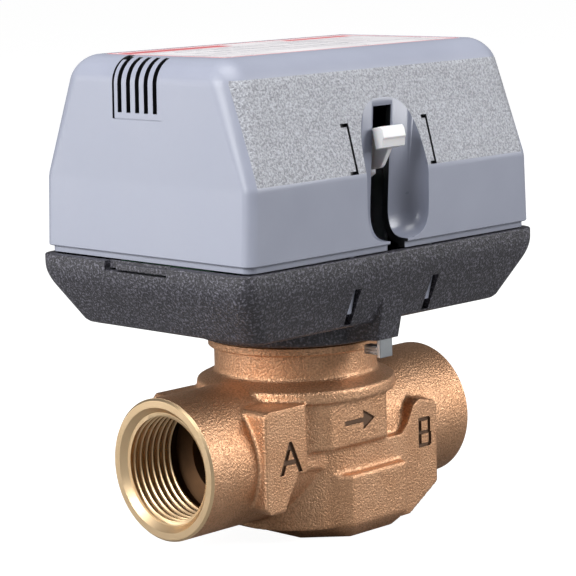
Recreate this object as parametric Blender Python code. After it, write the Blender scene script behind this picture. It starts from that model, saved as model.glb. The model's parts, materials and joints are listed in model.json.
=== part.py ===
"""Motorised zone valve: a bronze two-way valve body with a twist-on electric actuator.

Frame: origin on the foot of the valve body, on the stem axis. +X runs from port A to
port B, the manual lever is on the -Y face, +Z is up. Every size below is in
millimetres; the helpers turn millimetres into metres.
"""
import math

import bmesh
import bpy
from mathutils import Matrix, Vector

MM = 0.001
GAP = 0.3

# Valve body
PORT_Z = 21.3
PORT_R = 16.34
PORT_END_X = 43.65
THREAD_R = 12.06
THREAD_DEPTH = 16.5
PASSAGE_R = 9.5
PLATE_X = 29.2
PLATE_Y = 18.5
PAD_Y = 20.2
CHAMBER_R = 15.0
CHAMBER_FLOOR = 9.0
NECK_R = 19.14
SPIGOT_R = 17.1
NECK_TOP = 54.5
SHOULDER_Z = 46.6

# Cartridge inside the valve
CAGE_R = CHAMBER_R - GAP
CAGE_BORE_R = 11.2
CAGE_TOP = 38.6
WINDOW_Z = (17.2, 24.6)
PLUG_Z = (16.4, 27.3)
STEM_R = 2.5
STEM_HOLE_R = STEM_R + GAP

# Bayonet between neck and actuator
LUG_COUNT = 4
LUG_SPAN = 38.0
LUG_R = 19.6
LUG_Z = (51.3, 53.8)
HOOK_Z = (48.3, 51.0)
HUB_R = 23.5
HUB_BORE_R = 19.9

# Actuator housing
BASE_BOTTOM = 52.1
BASE_KNEE = 63.9
BASE_TOP = 68.5
BASE_X, BASE_Y = 49.1, 33.75
BASE_FOOT_X, BASE_FOOT_Y = 41.5, 28.6
FLOOR_Z = 55.0
COVER_BOTTOM = 70.2
COVER_KNEE = 86.3
COVER_TOP = 113.7
COVER_ROUND = 6.0
COVER_HINGE = (0.0, 33.35, COVER_BOTTOM)
TONGUE_X = 13.1

# Finger scoop and lever slot in the front of the cover
COVER_Y = 33.45
SCOOP_X, SCOOP_DEPTH = 10.3, 5.3
SCOOP_Z = 80.8
SCOOP_LOW = 9.9
SLOT_X = 2.95
SLOT_TOP = 100.9

# Drive: lever sector, double rack, output gear, second gear, motor
LEVER_AXIS = (-13.5, 83.8)
SECTOR_MODULE, SECTOR_TEETH = 0.8, 24
SECTOR_R = SECTOR_MODULE * SECTOR_TEETH / 2
RACK_Y = LEVER_AXIS[0] + SECTOR_R
PINION_TEETH = 12
OUTPUT_AXIS = (-RACK_Y + SECTOR_MODULE * PINION_TEETH / 2, LEVER_AXIS[1])
OUTPUT_MODULE, OUTPUT_TEETH = 0.6, 36
SECOND_ANGLE = math.radians(-50)
SECOND_MODULE, SECOND_TEETH = 0.5, 30
MOTOR_ANGLE = math.radians(197.7)
PRESSURE_ANGLE = math.radians(25)
BACKLASH = 0.08
PLATE_IN, PLATE_OUT = 11.2, 12.2
PIN_R = 1.0
SHAFT_R = 1.5
FRAME_SCREWS = [(-25.0, -8.0), (-25.0, 8.0), (25.0, -8.0), (25.0, 8.0)]

# Knob on the lever: a bar across the slot, its front tipped up
KNOB_X = (-3.9, 3.6)
KNOB_AT = (-17.7, 10.2)
KNOB_HALF_DEPTH, KNOB_HALF_HEIGHT = 1.5, 2.4
KNOB_TIP = math.radians(13)
ARM_X = 0.7

COLOURS = {
    "bronze": ("A87C52", 0.45, 1.0),
    "brass": ("C9AE6C", 0.3, 1.0),
    "steel": ("B9BBBD", 0.3, 1.0),
    "rubber": ("1B1B1C", 0.7, 0.0),
    "cover_grey": ("98A0AB", 0.5, 0.0),
    "base_grey": ("47484B", 0.65, 0.0),
    "white": ("E9E9E6", 0.4, 0.0),
    "label": ("EFEDED", 0.35, 0.0),
    "board": ("2F6B3F", 0.5, 0.0),
    "green": ("3E8E55", 0.45, 0.0),
    "black": ("202123", 0.5, 0.0),
    "red": ("A5382F", 0.5, 0.0),
    "blue": ("33558F", 0.5, 0.0),
}


def clear_scene():
    for item in list(bpy.data.objects):
        bpy.data.objects.remove(item, do_unlink=True)


def make_collection(name):
    collection = bpy.data.collections.new(name)
    bpy.context.scene.collection.children.link(collection)
    return collection


def linear(channel):
    return channel / 12.92 if channel <= 0.04045 else ((channel + 0.055) / 1.055) ** 2.4


def material(name):
    found = bpy.data.materials.get(name)
    if found:
        return found
    hex_code, roughness, metallic = COLOURS[name]
    made = bpy.data.materials.new(name)
    made.use_nodes = True
    shader = made.node_tree.nodes["Principled BSDF"]
    rgb = [linear(int(hex_code[i:i + 2], 16) / 255) for i in (0, 2, 4)]
    shader.inputs["Base Color"].default_value = (*rgb, 1.0)
    shader.inputs["Roughness"].default_value = roughness
    shader.inputs["Metallic"].default_value = metallic
    return made


# ---------------------------------------------------------------- helpers
def keep(bm, name, finish=None, origin=(0, 0, 0)):
    """Turn a bmesh in millimetres into an object; without a finish it is a hidden tool."""
    bmesh.ops.remove_doubles(bm, verts=bm.verts, dist=0.0005)
    bmesh.ops.recalc_face_normals(bm, faces=bm.faces)
    bmesh.ops.translate(bm, verts=bm.verts, vec=-Vector(origin))
    bmesh.ops.scale(bm, verts=bm.verts, vec=(MM, MM, MM))
    mesh = bpy.data.meshes.new(name)
    bm.to_mesh(mesh)
    bm.free()
    item = bpy.data.objects.new(name, mesh)
    item.location = Vector(origin) * MM
    if finish:
        mesh.materials.append(material(finish))
        PARTS.objects.link(item)
    else:
        item.hide_render = True
        item.display_type = "WIRE"
        TOOLS.objects.link(item)
    mesh.shade_smooth()
    mesh.set_sharp_from_angle(angle=math.radians(35))
    return item


def box(name, low, high, finish=None, origin=(0, 0, 0)):
    bm = bmesh.new()
    bmesh.ops.create_cube(bm, size=1)
    size = [b - a for a, b in zip(low, high)]
    middle = [(a + b) / 2 for a, b in zip(low, high)]
    bmesh.ops.scale(bm, verts=bm.verts, vec=size)
    bmesh.ops.translate(bm, verts=bm.verts, vec=middle)
    return keep(bm, name, finish, origin)


def turned(name, profile, finish=None, at=(0, 0, 0), axis="Z", steps=32, origin=(0, 0, 0)):
    """Spin a profile of (radius, height) points round Z, then lay its axis along X, Y or Z."""
    bm = bmesh.new()
    points = [bm.verts.new((radius, 0, height)) for radius, height in profile]
    edges = [bm.edges.new(pair) for pair in zip(points, points[1:])]
    if min(radius for radius, _ in profile) > 0:
        edges.append(bm.edges.new((points[-1], points[0])))
    bmesh.ops.spin(bm, geom=points + edges, angle=2 * math.pi, steps=steps,
                   axis=(0, 0, 1), cent=(0, 0, 0), use_merge=True)
    bmesh.ops.remove_doubles(bm, verts=bm.verts, dist=0.0005)
    turns = {"X": Matrix.Rotation(math.pi / 2, 3, "Y"), "Y": Matrix.Rotation(-math.pi / 2, 3, "X"),
             "Z": Matrix.Identity(3)}
    bmesh.ops.rotate(bm, verts=bm.verts, cent=(0, 0, 0), matrix=turns[axis])
    bmesh.ops.translate(bm, verts=bm.verts, vec=at)
    return keep(bm, name, finish, origin)


def rod(name, radius, low, high, finish=None, at=(0, 0), axis="Z", steps=24, origin=(0, 0, 0)):
    """A plain cylinder from low to high along an axis through the two other coordinates."""
    place = {"X": (0, at[0], at[1]), "Y": (at[0], 0, at[1]), "Z": (at[0], at[1], 0)}[axis]
    profile = [(0, high), (radius, high), (radius, low), (0, low)]
    return turned(name, profile, finish, place, axis, steps, origin)


def prism(name, outline, axis, low, high, finish=None, origin=(0, 0, 0)):
    """Extrude a flat outline: (y, z) points along X, (x, z) along Y or (x, y) along Z."""
    bm = bmesh.new()
    lift = {"X": lambda a, b, c: (c, a, b), "Y": lambda a, b, c: (a, c, b),
            "Z": lambda a, b, c: (a, b, c)}[axis]
    face = bm.faces.new([bm.verts.new(lift(a, b, low)) for a, b in outline])
    grown = bmesh.ops.extrude_face_region(bm, geom=[face])
    moved = [item for item in grown["geom"] if isinstance(item, bmesh.types.BMVert)]
    bmesh.ops.translate(bm, verts=moved, vec=lift(0, 0, high - low))
    return keep(bm, name, finish, origin)


def rounded_rect(half_x, half_y, radius, steps=4):
    points = []
    for corner, (sx, sy) in enumerate(((1, 1), (-1, 1), (-1, -1), (1, -1))):
        for step in range(steps + 1):
            angle = math.radians(90 * corner + 90 * step / steps)
            points.append((sx * (half_x - radius) + radius * math.cos(angle),
                           sy * (half_y - radius) + radius * math.sin(angle)))
    return points


def loft(name, sections, finish=None, origin=(0, 0, 0)):
    """Skin a stack of (outline, height) sections that have equal point counts."""
    bm = bmesh.new()
    rings = [[bm.verts.new((x, y, z)) for x, y in outline] for outline, z in sections]
    for low, high in zip(rings, rings[1:]):
        for i in range(len(low)):
            j = (i + 1) % len(low)
            bm.faces.new((low[i], low[j], high[j], high[i]))
    bm.faces.new(rings[0])
    bm.faces.new(rings[-1])
    return keep(bm, name, finish, origin)


def sector(name, inner, outer, middle_deg, span_deg, low, high, steps=5):
    """A block between two radii and two angles about the Z axis."""
    angles = [math.radians(middle_deg - span_deg / 2 + span_deg * i / steps) for i in range(steps + 1)]
    outline = [(outer * math.cos(a), outer * math.sin(a)) for a in angles]
    outline += [(inner * math.cos(a), inner * math.sin(a)) for a in reversed(angles)]
    return prism(name, outline, "Z", low, high)


def combine(target, operation, tools):
    for tool in tools:
        step = target.modifiers.new(tool.name, "BOOLEAN")
        step.operation = operation
        step.solver = "EXACT"
        step.object = tool
    return target


def join(target, *tools):
    return combine(target, "UNION", tools)


def cut(target, *tools):
    return combine(target, "DIFFERENCE", tools)


# ---------------------------------------------------------------- teeth
def involute(angle):
    return math.tan(angle) - angle


def gear_outline(module, teeth, phase, first=0, count=None):
    """Outline of the stub teeth from number first on; phase is the angle of tooth 0."""
    pitch_r = module * teeth / 2
    base_r = pitch_r * math.cos(PRESSURE_ANGLE)
    half = (math.pi * module / 4 - BACKLASH) / pitch_r

    def half_angle(radius):
        roll = math.acos(min(1.0, base_r / max(radius, base_r)))
        return half + involute(PRESSURE_ANGLE) - involute(roll)

    radii = (pitch_r - 1.05 * module, pitch_r, pitch_r + 0.75 * module)
    points = []
    for tooth in range(first, first + (count or teeth)):
        middle = phase + 2 * math.pi * tooth / teeth
        flank = [(r, middle - half_angle(r)) for r in radii]
        flank += [(r, middle + half_angle(r)) for r in reversed(radii)]
        points += [(r * math.cos(a), r * math.sin(a)) for r, a in flank]
    return points


def moved(points, centre):
    return [(a + centre[0], b + centre[1]) for a, b in points]


def mesh_phase(phase, teeth, other_teeth, angle):
    """Phase of a gear at the given angle from a first gear, with its tooth in the first's gap."""
    return angle + math.pi + (math.pi - (phase - angle) * teeth) / other_teeth


def polar(centre, distance, angle):
    return (centre[0] + distance * math.cos(angle), centre[1] + distance * math.sin(angle))


SECOND_AXIS = polar(OUTPUT_AXIS, OUTPUT_MODULE * (OUTPUT_TEETH + PINION_TEETH) / 2, SECOND_ANGLE)
MOTOR_AXIS = polar(SECOND_AXIS, SECOND_MODULE * (SECOND_TEETH + PINION_TEETH) / 2, MOTOR_ANGLE)


# ---------------------------------------------------------------- valve
def valve_body():
    body = rod("valve_body", PORT_R, -PORT_END_X, PORT_END_X, "bronze", (0, PORT_Z), "X", 40)
    plate_a = moved([(-PLATE_X, 11.9), (-28.2, 12.9), (0, 12.9), (0, -4.2), (-8, -3.9), (-18.6, -2.8),
                     (-21.7, -7.7), (-23.3, -10.9), (-27.5, -10.9), (-PLATE_X, -9.3)], (0, PORT_Z))
    plate_b = moved([(PLATE_X, 6.0), (28.2, 6.5), (23.2, 8.65), (16.1, 6.4), (11.9, 1.1), (0, 1.1),
                     (0, -17.0), (15.0, -19.7), (18.9, -19.7), (PLATE_X, -13.4)], (0, PORT_Z))
    pad = [(-13.2, -16.7), (-9.3, -PAD_Y), (9.3, -PAD_Y), (13.2, -16.7),
           (13.2, 16.7), (9.3, PAD_Y), (-9.3, PAD_Y), (-13.2, 16.7)]
    block = [(-3.2, -20.4), (15.8, -20.4), (15.8, 20.4), (-3.2, 20.4), (-12.5, 11.5), (-12.5, -11.5)]
    heel = [(-1.6, -18.2), (13.6, -18.2), (13.6, 18.2), (-1.6, 18.2), (-10.4, 10.4), (-10.4, -10.4)]
    join(body,
         prism("body_plate_a", plate_a, "Y", -PLATE_Y, PLATE_Y),
         prism("body_plate_b", plate_b, "Y", -PLATE_Y, PLATE_Y),
         prism("body_pad", pad, "Z", PORT_Z + 0.9, PORT_Z + 12.6),
         loft("body_block", [(heel, 0), (block, 2.2), (block, PORT_Z - 5.7)]),
         rod("body_core", 18.4, 3.0, 35.0, axis="Z", steps=40),
         turned("body_neck", [(0, NECK_TOP), (SPIGOT_R, NECK_TOP), (SPIGOT_R, SHOULDER_Z),
                              (NECK_R, SHOULDER_Z), (NECK_R, 38.4), (23.4, 36.3), (23.4, 33.6),
                              (0, 33.6)], steps=40))
    for number in range(LUG_COUNT):
        join(body, sector(f"body_lug_{number}", 16.0, LUG_R, 45 + 90 * number, LUG_SPAN, *LUG_Z))
    return cut(body,
               rod("cut_chamber", CHAMBER_R, CHAMBER_FLOOR, NECK_TOP + 1, steps=40),
               rod("cut_passage", PASSAGE_R, -30, 30, at=(0, PORT_Z), axis="X", steps=24),
               rod("cut_port_a", THREAD_R, -PORT_END_X - 1, THREAD_DEPTH - PORT_END_X, at=(0, PORT_Z),
                   axis="X", steps=32),
               rod("cut_port_b", THREAD_R, PORT_END_X - THREAD_DEPTH, PORT_END_X + 1, at=(0, PORT_Z),
                   axis="X", steps=32))


def grooved_ring(name, outer, inner, low, high, grooves, depth, finish):
    """A tube with square O-ring grooves, each given by its middle height and width."""
    profile = [(outer, high)]
    for middle, width in sorted(grooves, reverse=True):
        profile += [(outer, middle + width / 2), (outer - depth, middle + width / 2),
                    (outer - depth, middle - width / 2), (outer, middle - width / 2)]
    profile += [(outer, low), (inner, low), (inner, high)]
    return turned(name, profile, finish)


def o_ring(name, ring_r, wire_r, height):
    profile = [(ring_r + wire_r * math.cos(a), height + wire_r * math.sin(a))
               for a in (-math.pi * i / 3 for i in range(6))]
    return turned(name, profile, "rubber", steps=20)


def hex_nut(name, flats, low, high, hole_r, finish):
    radius = flats / math.sqrt(3)
    outline = [polar((0, 0), radius, math.radians(60 * i)) for i in range(6)]
    nut = prism(name, outline, "Z", low, high, finish)
    return cut(nut, rod(name + "_hole", hole_r, low - 1, high + 1, steps=20))


def cartridge():
    cage = grooved_ring("cartridge_cage", CAGE_R, CAGE_BORE_R, CHAMBER_FLOOR + GAP, CAGE_TOP,
                        [(13.2, 2.4), (32.2, 2.4)], 1.9, "brass")
    cut(cage, box("cut_windows", (-20, -7.0, WINDOW_Z[0]), (20, 7.0, WINDOW_Z[1])))
    o_ring("cage_oring_lower", 13.9, 0.8, 13.2)
    o_ring("cage_oring_upper", 13.9, 0.8, 32.2)
    grooved_ring("bonnet", CAGE_R, STEM_HOLE_R, CAGE_TOP + GAP, 51.0, [(43.5, 2.4)], 1.9, "brass")
    o_ring("bonnet_oring", 13.9, 0.8, 43.5)
    hex_nut("gland_nut", 13.0, 51.3, 55.4, STEM_HOLE_R, "brass")
    collar = [(20.5, 46.3), (20.5, 44.3), (NECK_R + GAP, 44.3), (NECK_R + GAP, 46.3)]
    turned("neck_collar", collar, "brass", steps=40)


def stem_group():
    turned("valve_stem", [(0, 64.5), (3.6, 64.5), (3.6, 62.3), (STEM_R, 62.3), (STEM_R, 12.0), (0, 12.0)],
           "steel", steps=24)
    grooved_ring("piston_plug", CAGE_BORE_R - GAP, STEM_HOLE_R, PLUG_Z[0], PLUG_Z[1],
                 [(18.3, 1.8), (25.4, 1.8)], 1.5, "brass")
    o_ring("plug_oring_lower", 10.3, 0.6, 18.3)
    o_ring("plug_oring_upper", 10.3, 0.6, 25.4)
    hex_nut("stem_nut", 7.0, 13.0, PLUG_Z[0] - GAP, STEM_HOLE_R, "steel")


# ---------------------------------------------------------------- housing
def base_section(z):
    """Half sizes of the housing base's outside at a height: a band over four sloping sides."""
    t = min(1.0, (z - BASE_BOTTOM) / (BASE_KNEE - BASE_BOTTOM))
    return (BASE_FOOT_X + (BASE_X - BASE_FOOT_X) * t,
            BASE_FOOT_Y + (BASE_Y - BASE_FOOT_Y) * t)


def base():
    heights = (BASE_BOTTOM, BASE_KNEE, BASE_TOP)
    tray = loft("base", [(rounded_rect(*base_section(z), 4.2), z) for z in heights], "base_grey")
    hollow = []
    for z in (FLOOR_Z, BASE_KNEE + 0.6, BASE_TOP + 1):
        half_x, half_y = base_section(z)
        hollow.append((rounded_rect(half_x - 2.4, half_y - 2.4, 2.4), z))
    cut(tray, loft("cut_base_hollow", hollow))
    join(tray, rod("base_hub", HUB_R, SHOULDER_Z + 0.2, FLOOR_Z - 0.4, steps=40),
         box("base_buttress", (-4.4, -31.0, 48.0), (4.4, -21.0, 59.0)))
    for x in (-38.0, -17.0):
        for y in (-19.0, 19.0):
            join(tray, rod(f"base_post_{x:.0f}_{y:.0f}", 2.4, 53.5, 59.7, at=(x, y), steps=16))
    cut(tray, rod("cut_hub_hooks", SPIGOT_R + GAP, 40, 60, steps=40),
        rod("cut_hub_low", HUB_BORE_R, 40, HOOK_Z[0], steps=40),
        rod("cut_hub_high", HUB_BORE_R, HOOK_Z[1], 60, steps=40),
        box("cut_latch_pocket", (-2.6, -29.2, 47.0), (2.6, -24.4, 51.0)),
        box("cut_cable_notch", (-51, -9.4, 66.4), (-45, 10.7, 70)))
    for number in range(LUG_COUNT):
        cut(tray, sector(f"cut_hub_gap_{number}", 16.5, HUB_BORE_R, 90 * number, 90 - LUG_SPAN, 47.5, 51.5))
    for side in (-1, 1):
        middle = side * TONGUE_X
        cut(tray, box(f"cut_tongue_{side}", (middle - 1.2, -32.15, 53.0), (middle + 1.2, -27.6, 70)),
            box(f"cut_tongue_mouth_{side}", (middle - 1.2, -36, 53.0), (middle + 1.2, -29.2, 61.4)))
    for x, y in FRAME_SCREWS:
        cut(tray, rod(f"cut_frame_screw_{x:.0f}_{y:.0f}", 1.5, 53.4, 60, at=(x, y), steps=16))
    return tray


def cover_half_sizes(z):
    """Half sizes of the cover's outside: steep ends, sides that lean in above the knee."""
    if z <= COVER_KNEE:
        t = (z - COVER_BOTTOM) / (COVER_KNEE - COVER_BOTTOM)
        return 47.3 - 0.83 * t, 33.35 + 0.1 * t
    t = (z - COVER_KNEE) / (COVER_TOP - COVER_KNEE)
    return 46.47 - 0.57 * t, 33.45 - 7.43 * t


def cover_shell():
    lip_x, lip_y = 46.3, 32.35
    lip = rounded_rect(lip_x, lip_y, 2.2)
    outside = [(lip, BASE_TOP + GAP), (lip, COVER_BOTTOM)]
    outside += [(rounded_rect(*cover_half_sizes(z), 2.8), z) for z in (COVER_BOTTOM, COVER_KNEE)]
    for step in range(5):
        angle = math.radians(90 * step / 4)
        z = COVER_TOP - COVER_ROUND * (1 - math.sin(angle))
        inset = COVER_ROUND * (1 - math.cos(angle))
        half_x, half_y = cover_half_sizes(z)
        outside.append((rounded_rect(half_x - inset, half_y - inset, 4.5 - 0.3 * step), z))
    hollow = [(44.2, 30.25, 68.0), (44.2, 30.25, 70.5), (45.2, 31.25, 72.5), (44.4, 31.35, COVER_KNEE),
              (43.8, 25.8, 107.4), (41.9, 23.7, 110.5), (39.4, 20.9, 111.6)]
    inside = loft("cut_cover_hollow", [(rounded_rect(x, y, 2.4), z) for x, y, z in hollow])
    cut(inside, scoop_tool("scoop_backing", 2.0))
    shell = loft("cover", outside, "cover_grey")
    cut(shell, inside, scoop_tool("cut_scoop", 0.0))
    return shell


def scoop_tool(name, extra):
    """A finger scoop: an upright elliptic bar that ends below in half an egg."""
    half_x, depth = SCOOP_X + extra, SCOOP_DEPTH + extra
    sections = []
    for step in range(8):
        angle = math.radians(-84 + 12 * step)
        across, z = math.cos(angle), SCOOP_Z + (SCOOP_LOW + extra) * math.sin(angle)
        turns = [2 * math.pi * i / 28 for i in range(28)]
        outline = [(half_x * across * math.cos(t), depth * across * math.sin(t) - COVER_Y) for t in turns]
        sections.append((outline, z))
    sections.append((sections[-1][0], 108))
    return loft(name, sections)


def cover():
    shell = cover_shell()
    cut(shell, box("cut_lever_slot", (-SLOT_X, -40, 60), (SLOT_X, -22, SLOT_TOP)),
        box("cut_label_seat", (-40, -20.2, COVER_TOP - 0.8), (40, 20.2, COVER_TOP + 1)))
    for number in range(5):
        y = 7.0 - 2.85 * number
        cut(shell, box(f"cut_vent_{number}", (-51, y - 0.65, 101.5), (-42, y + 0.65, 112.6)))
    tongue = [(-29.6, 55.5), (-28.4, 55.5), (-28.4, 71.5), (-30.9, 71.5), (-31.2, 61.5)]
    for side in (-1, 1):
        middle = side * TONGUE_X
        join(shell, prism(f"cover_tongue_{side}", tongue, "X", middle - 0.8, middle + 0.8))
    shell.location = Vector(COVER_HINGE) * MM
    shell.data.transform(Matrix.Translation(-Vector(COVER_HINGE) * MM))
    box("cover_label", (-39.6, -19.8, COVER_TOP - 0.5), (39.6, 19.8, COVER_TOP - 0.1), "label",
        origin=COVER_HINGE)


# ---------------------------------------------------------------- drive
def frame_plate(name, side):
    """A pressed gear plate with a foot turned outwards over the base."""
    outline = [(-19, 55.3), (22, 55.3), (24.5, 62), (24.5, 92), (18, 101.5), (-8, 101.5), (-19, 90)]
    low, high = sorted((side * PLATE_IN, side * PLATE_OUT))
    plate = prism(name, outline, "X", low, high, "steel")
    foot_low, foot_high = sorted((side * PLATE_IN, side * 28.0))
    join(plate, box(name + "_foot", (foot_low, -11, 55.3), (foot_high, 11, 56.3)))
    cut(plate, rod(name + "_hole_lever", SHAFT_R + GAP, -40, 40, at=LEVER_AXIS, axis="X", steps=16),
        rod(name + "_hole_output", PIN_R + GAP, -40, 40, at=OUTPUT_AXIS, axis="X", steps=16),
        rod(name + "_hole_second", PIN_R + GAP, -40, 40, at=SECOND_AXIS, axis="X", steps=16))
    for x, y in FRAME_SCREWS:
        if x * side > 0:
            cut(plate, rod(f"{name}_screw_{y:.0f}", 1.5, 50, 60, at=(x, y), steps=16))
    return plate


def frame():
    frame_plate("gear_plate_left", -1)
    right = frame_plate("gear_plate_right", 1)
    cut(right, rod("cut_motor_nose", 4.0, 5, 20, at=MOTOR_AXIS, axis="X", steps=24))
    reach = PLATE_IN - GAP
    for number, place in enumerate(((-15, 62), (20.5, 60), (20, 95), (-7, 98)), 1):
        rod(f"plate_post_{number}", 1.8, -reach, reach, "steel", place, "X", 12)
    for number, (x, y) in enumerate(FRAME_SCREWS, 1):
        screw = [(0, 58.0), (2.3, 58.0), (2.3, 56.6), (1.2, 56.6), (1.2, 53.8), (0, 53.8)]
        turned(f"frame_screw_{number}", screw, "steel", (x, y, 0), steps=12)
    rod("lever_shaft", SHAFT_R, -13.2, 13.2, "steel", LEVER_AXIS, "X", 16)
    rod("output_pin", PIN_R, -13.2, 13.2, "steel", OUTPUT_AXIS, "X", 12)
    rod("second_pin", PIN_R, -PLATE_OUT, PLATE_OUT, "steel", SECOND_AXIS, "X", 12)


def knob_outline():
    """The knob's section, from the lever's axis, turned so that its front looks up a little."""
    forward = Vector((-math.cos(KNOB_TIP), math.sin(KNOB_TIP))) * KNOB_HALF_DEPTH
    upward = Vector((math.sin(KNOB_TIP), math.cos(KNOB_TIP))) * KNOB_HALF_HEIGHT
    middle = Vector(KNOB_AT)
    return [middle + a * forward + b * upward for a, b in ((1, 1), (1, -1), (-1, -1), (-1, 1))]


def manual_lever():
    origin = (0, *LEVER_AXIS)
    first, count = -5, 7
    teeth = [(0, 0)] + gear_outline(SECTOR_MODULE, SECTOR_TEETH, 0, first, count)
    lever = prism("manual_lever", moved(teeth, LEVER_AXIS), "X", -1.8, 1.8, "white", origin)
    arm = [(-2, 4.2), (-15.5, 12.3), (-18.0, 11.0), (-18.2, 7.6), (-16.3, 4.2), (-15, 3.1),
           (-3, -4.2), (1, 0)]
    tools = (prism("lever_arm", moved(arm, LEVER_AXIS), "X", -ARM_X, ARM_X),
             rod("lever_hub", 4.5, -4.0, 4.0, at=LEVER_AXIS, axis="X"),
             prism("lever_knob", moved(knob_outline(), LEVER_AXIS), "X", *KNOB_X))
    join(lever, *tools)
    return cut(lever, rod("cut_lever_bore", SHAFT_R + GAP, -6, 6, at=LEVER_AXIS, axis="X", steps=16))


def rack_side(sign):
    """Tooth outline of one side of the rack, from its top tooth down."""
    half = math.pi * SECTOR_MODULE / 4 - BACKLASH
    pitch_y = abs(RACK_Y)
    tip, root = 0.75 * SECTOR_MODULE, 1.05 * SECTOR_MODULE
    lean = math.tan(PRESSURE_ANGLE)
    points = []
    for tooth in range(1, -7, -1):
        z = LEVER_AXIS[1] + (tooth + 0.5) * math.pi * SECTOR_MODULE
        points += [(sign * (pitch_y - root), z + half + root * lean),
                   (sign * (pitch_y + tip), z + half - tip * lean),
                   (sign * (pitch_y + tip), z - half + tip * lean),
                   (sign * (pitch_y - root), z - half - root * lean)]
    return points


def rack_yoke():
    top, bottom = 89.6, 66.0
    half = abs(RACK_Y) - 1.05 * SECTOR_MODULE
    outline = [(-half, top), (half, top)] + rack_side(1) + [(half, bottom), (-half, bottom)]
    outline += list(reversed(rack_side(-1)))
    yoke = prism("rack_yoke", outline, "X", -2.3, 2.3, "steel")
    join(yoke, box("yoke_fork", (-5, -5, 60.2), (5, 5, 67.2)),
         box("yoke_lug", (-8.6, -1.5, 79), (-1, 1.5, 82.4)))
    return cut(yoke, rod("cut_yoke_head", 3.9, 62.0, 64.8, steps=20),
               box("cut_yoke_head_way", (0, -3.9, 62.0), (7, 3.9, 64.8)),
               rod("cut_yoke_neck", STEM_HOLE_R, 59, 62.5, steps=20),
               box("cut_yoke_neck_way", (0, -STEM_HOLE_R, 59), (7, STEM_HOLE_R, 62.5)))


def gear_train():
    origin = (0, *OUTPUT_AXIS)
    pinion = gear_outline(SECTOR_MODULE, PINION_TEETH, 0)
    output = prism("output_gear", moved(pinion, OUTPUT_AXIS), "X", -2.6, 2.6, "white", origin)
    wheel = gear_outline(OUTPUT_MODULE, OUTPUT_TEETH, 0)
    join(output, rod("output_hub", 2.9, 2.0, 6.0, at=OUTPUT_AXIS, axis="X"),
         prism("output_wheel", moved(wheel, OUTPUT_AXIS), "X", 5.4, 7.4))
    cut(output, rod("cut_output_bore", PIN_R + GAP, -9, 9, at=OUTPUT_AXIS, axis="X", steps=12))

    origin = (0, *SECOND_AXIS)
    phase = mesh_phase(0, OUTPUT_TEETH, PINION_TEETH, SECOND_ANGLE)
    pinion = gear_outline(OUTPUT_MODULE, PINION_TEETH, phase)
    second = prism("second_gear", moved(pinion, SECOND_AXIS), "X", 5.0, 8.5, "white", origin)
    wheel = gear_outline(SECOND_MODULE, SECOND_TEETH, 0)
    join(second, prism("second_wheel", moved(wheel, SECOND_AXIS), "X", 8.2, 9.9))
    cut(second, rod("cut_second_bore", PIN_R + GAP, 0, 12, at=SECOND_AXIS, axis="X", steps=12))

    origin = (0, *MOTOR_AXIS)
    phase = mesh_phase(0, SECOND_TEETH, PINION_TEETH, MOTOR_ANGLE)
    pinion = gear_outline(SECOND_MODULE, PINION_TEETH, phase)
    rotor = prism("motor_pinion", moved(pinion, MOTOR_AXIS), "X", 8.0, 10.4, "brass", origin)
    join(rotor, rod("motor_shaft", 1.2, 9.5, 15.5, at=MOTOR_AXIS, axis="X", steps=16))


def motor():
    y, z = MOTOR_AXIS
    flange = box("motor_flange", (12.5, y - 14.5, z - 4), (13.4, y + 14.5, z + 4), "steel")
    cut(flange, rod("cut_flange_nose", 2.0, 5, 20, at=MOTOR_AXIS, axis="X", steps=16))
    can = rod("motor_can", 11.0, 13.7, 28.0, "steel", MOTOR_AXIS, "X", 32)
    cut(can, rod("cut_motor_shaft", 1.5, 10, 17, at=MOTOR_AXIS, axis="X", steps=16))
    box("motor_connector", (17.0, y - 5, z + 11.3), (25.0, y + 5, z + 15.0), "black")


def electrics():
    box("circuit_board", (-40.4, -21.0, 60.0), (-13.2, 21.0, 61.6), "board")
    block = box("terminal_block", (-40.2, -15.0, 61.9), (-32.2, 15.0, 71.0), "green")
    for number in range(5):
        y = -12.0 + 6.0 * number
        cut(block, rod(f"cut_terminal_{number}", 2.1, 66.5, 73, at=(-36.2, y), steps=12),
            box(f"cut_terminal_way_{number}", (-43, y - 1.7, 62.8), (-36.2, y + 1.7, 65.8)))
        screw = rod(f"terminal_screw_{number + 1}", 1.7, 66.8, 70.4, "steel", (-36.2, y), steps=12)
        cut(screw, box(f"cut_screw_slot_{number}", (-39.0, y - 0.3, 69.8), (-34.0, y + 0.3, 71)))
    rod("suppressor_capacitor", 4.0, -30.0, -17.0, "black", (-14.0, 66.0), "X", 20)
    switch = box("limit_switch", (-10.9, -2.0, 92.3), (-5.1, 10.8, 98.8), "black")
    cut(switch, box("cut_plunger_well", (-9.1, -1.3, 92.0), (-6.9, 1.3, 95.0)))
    box("switch_plunger", (-8.8, -1.0, 91.2), (-7.2, 1.0, 93.6), "red")
    box("cable_entry_insert", (-48.9, -9.1, 66.8), (-47.0, 7.2, 68.2), "black")


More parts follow.
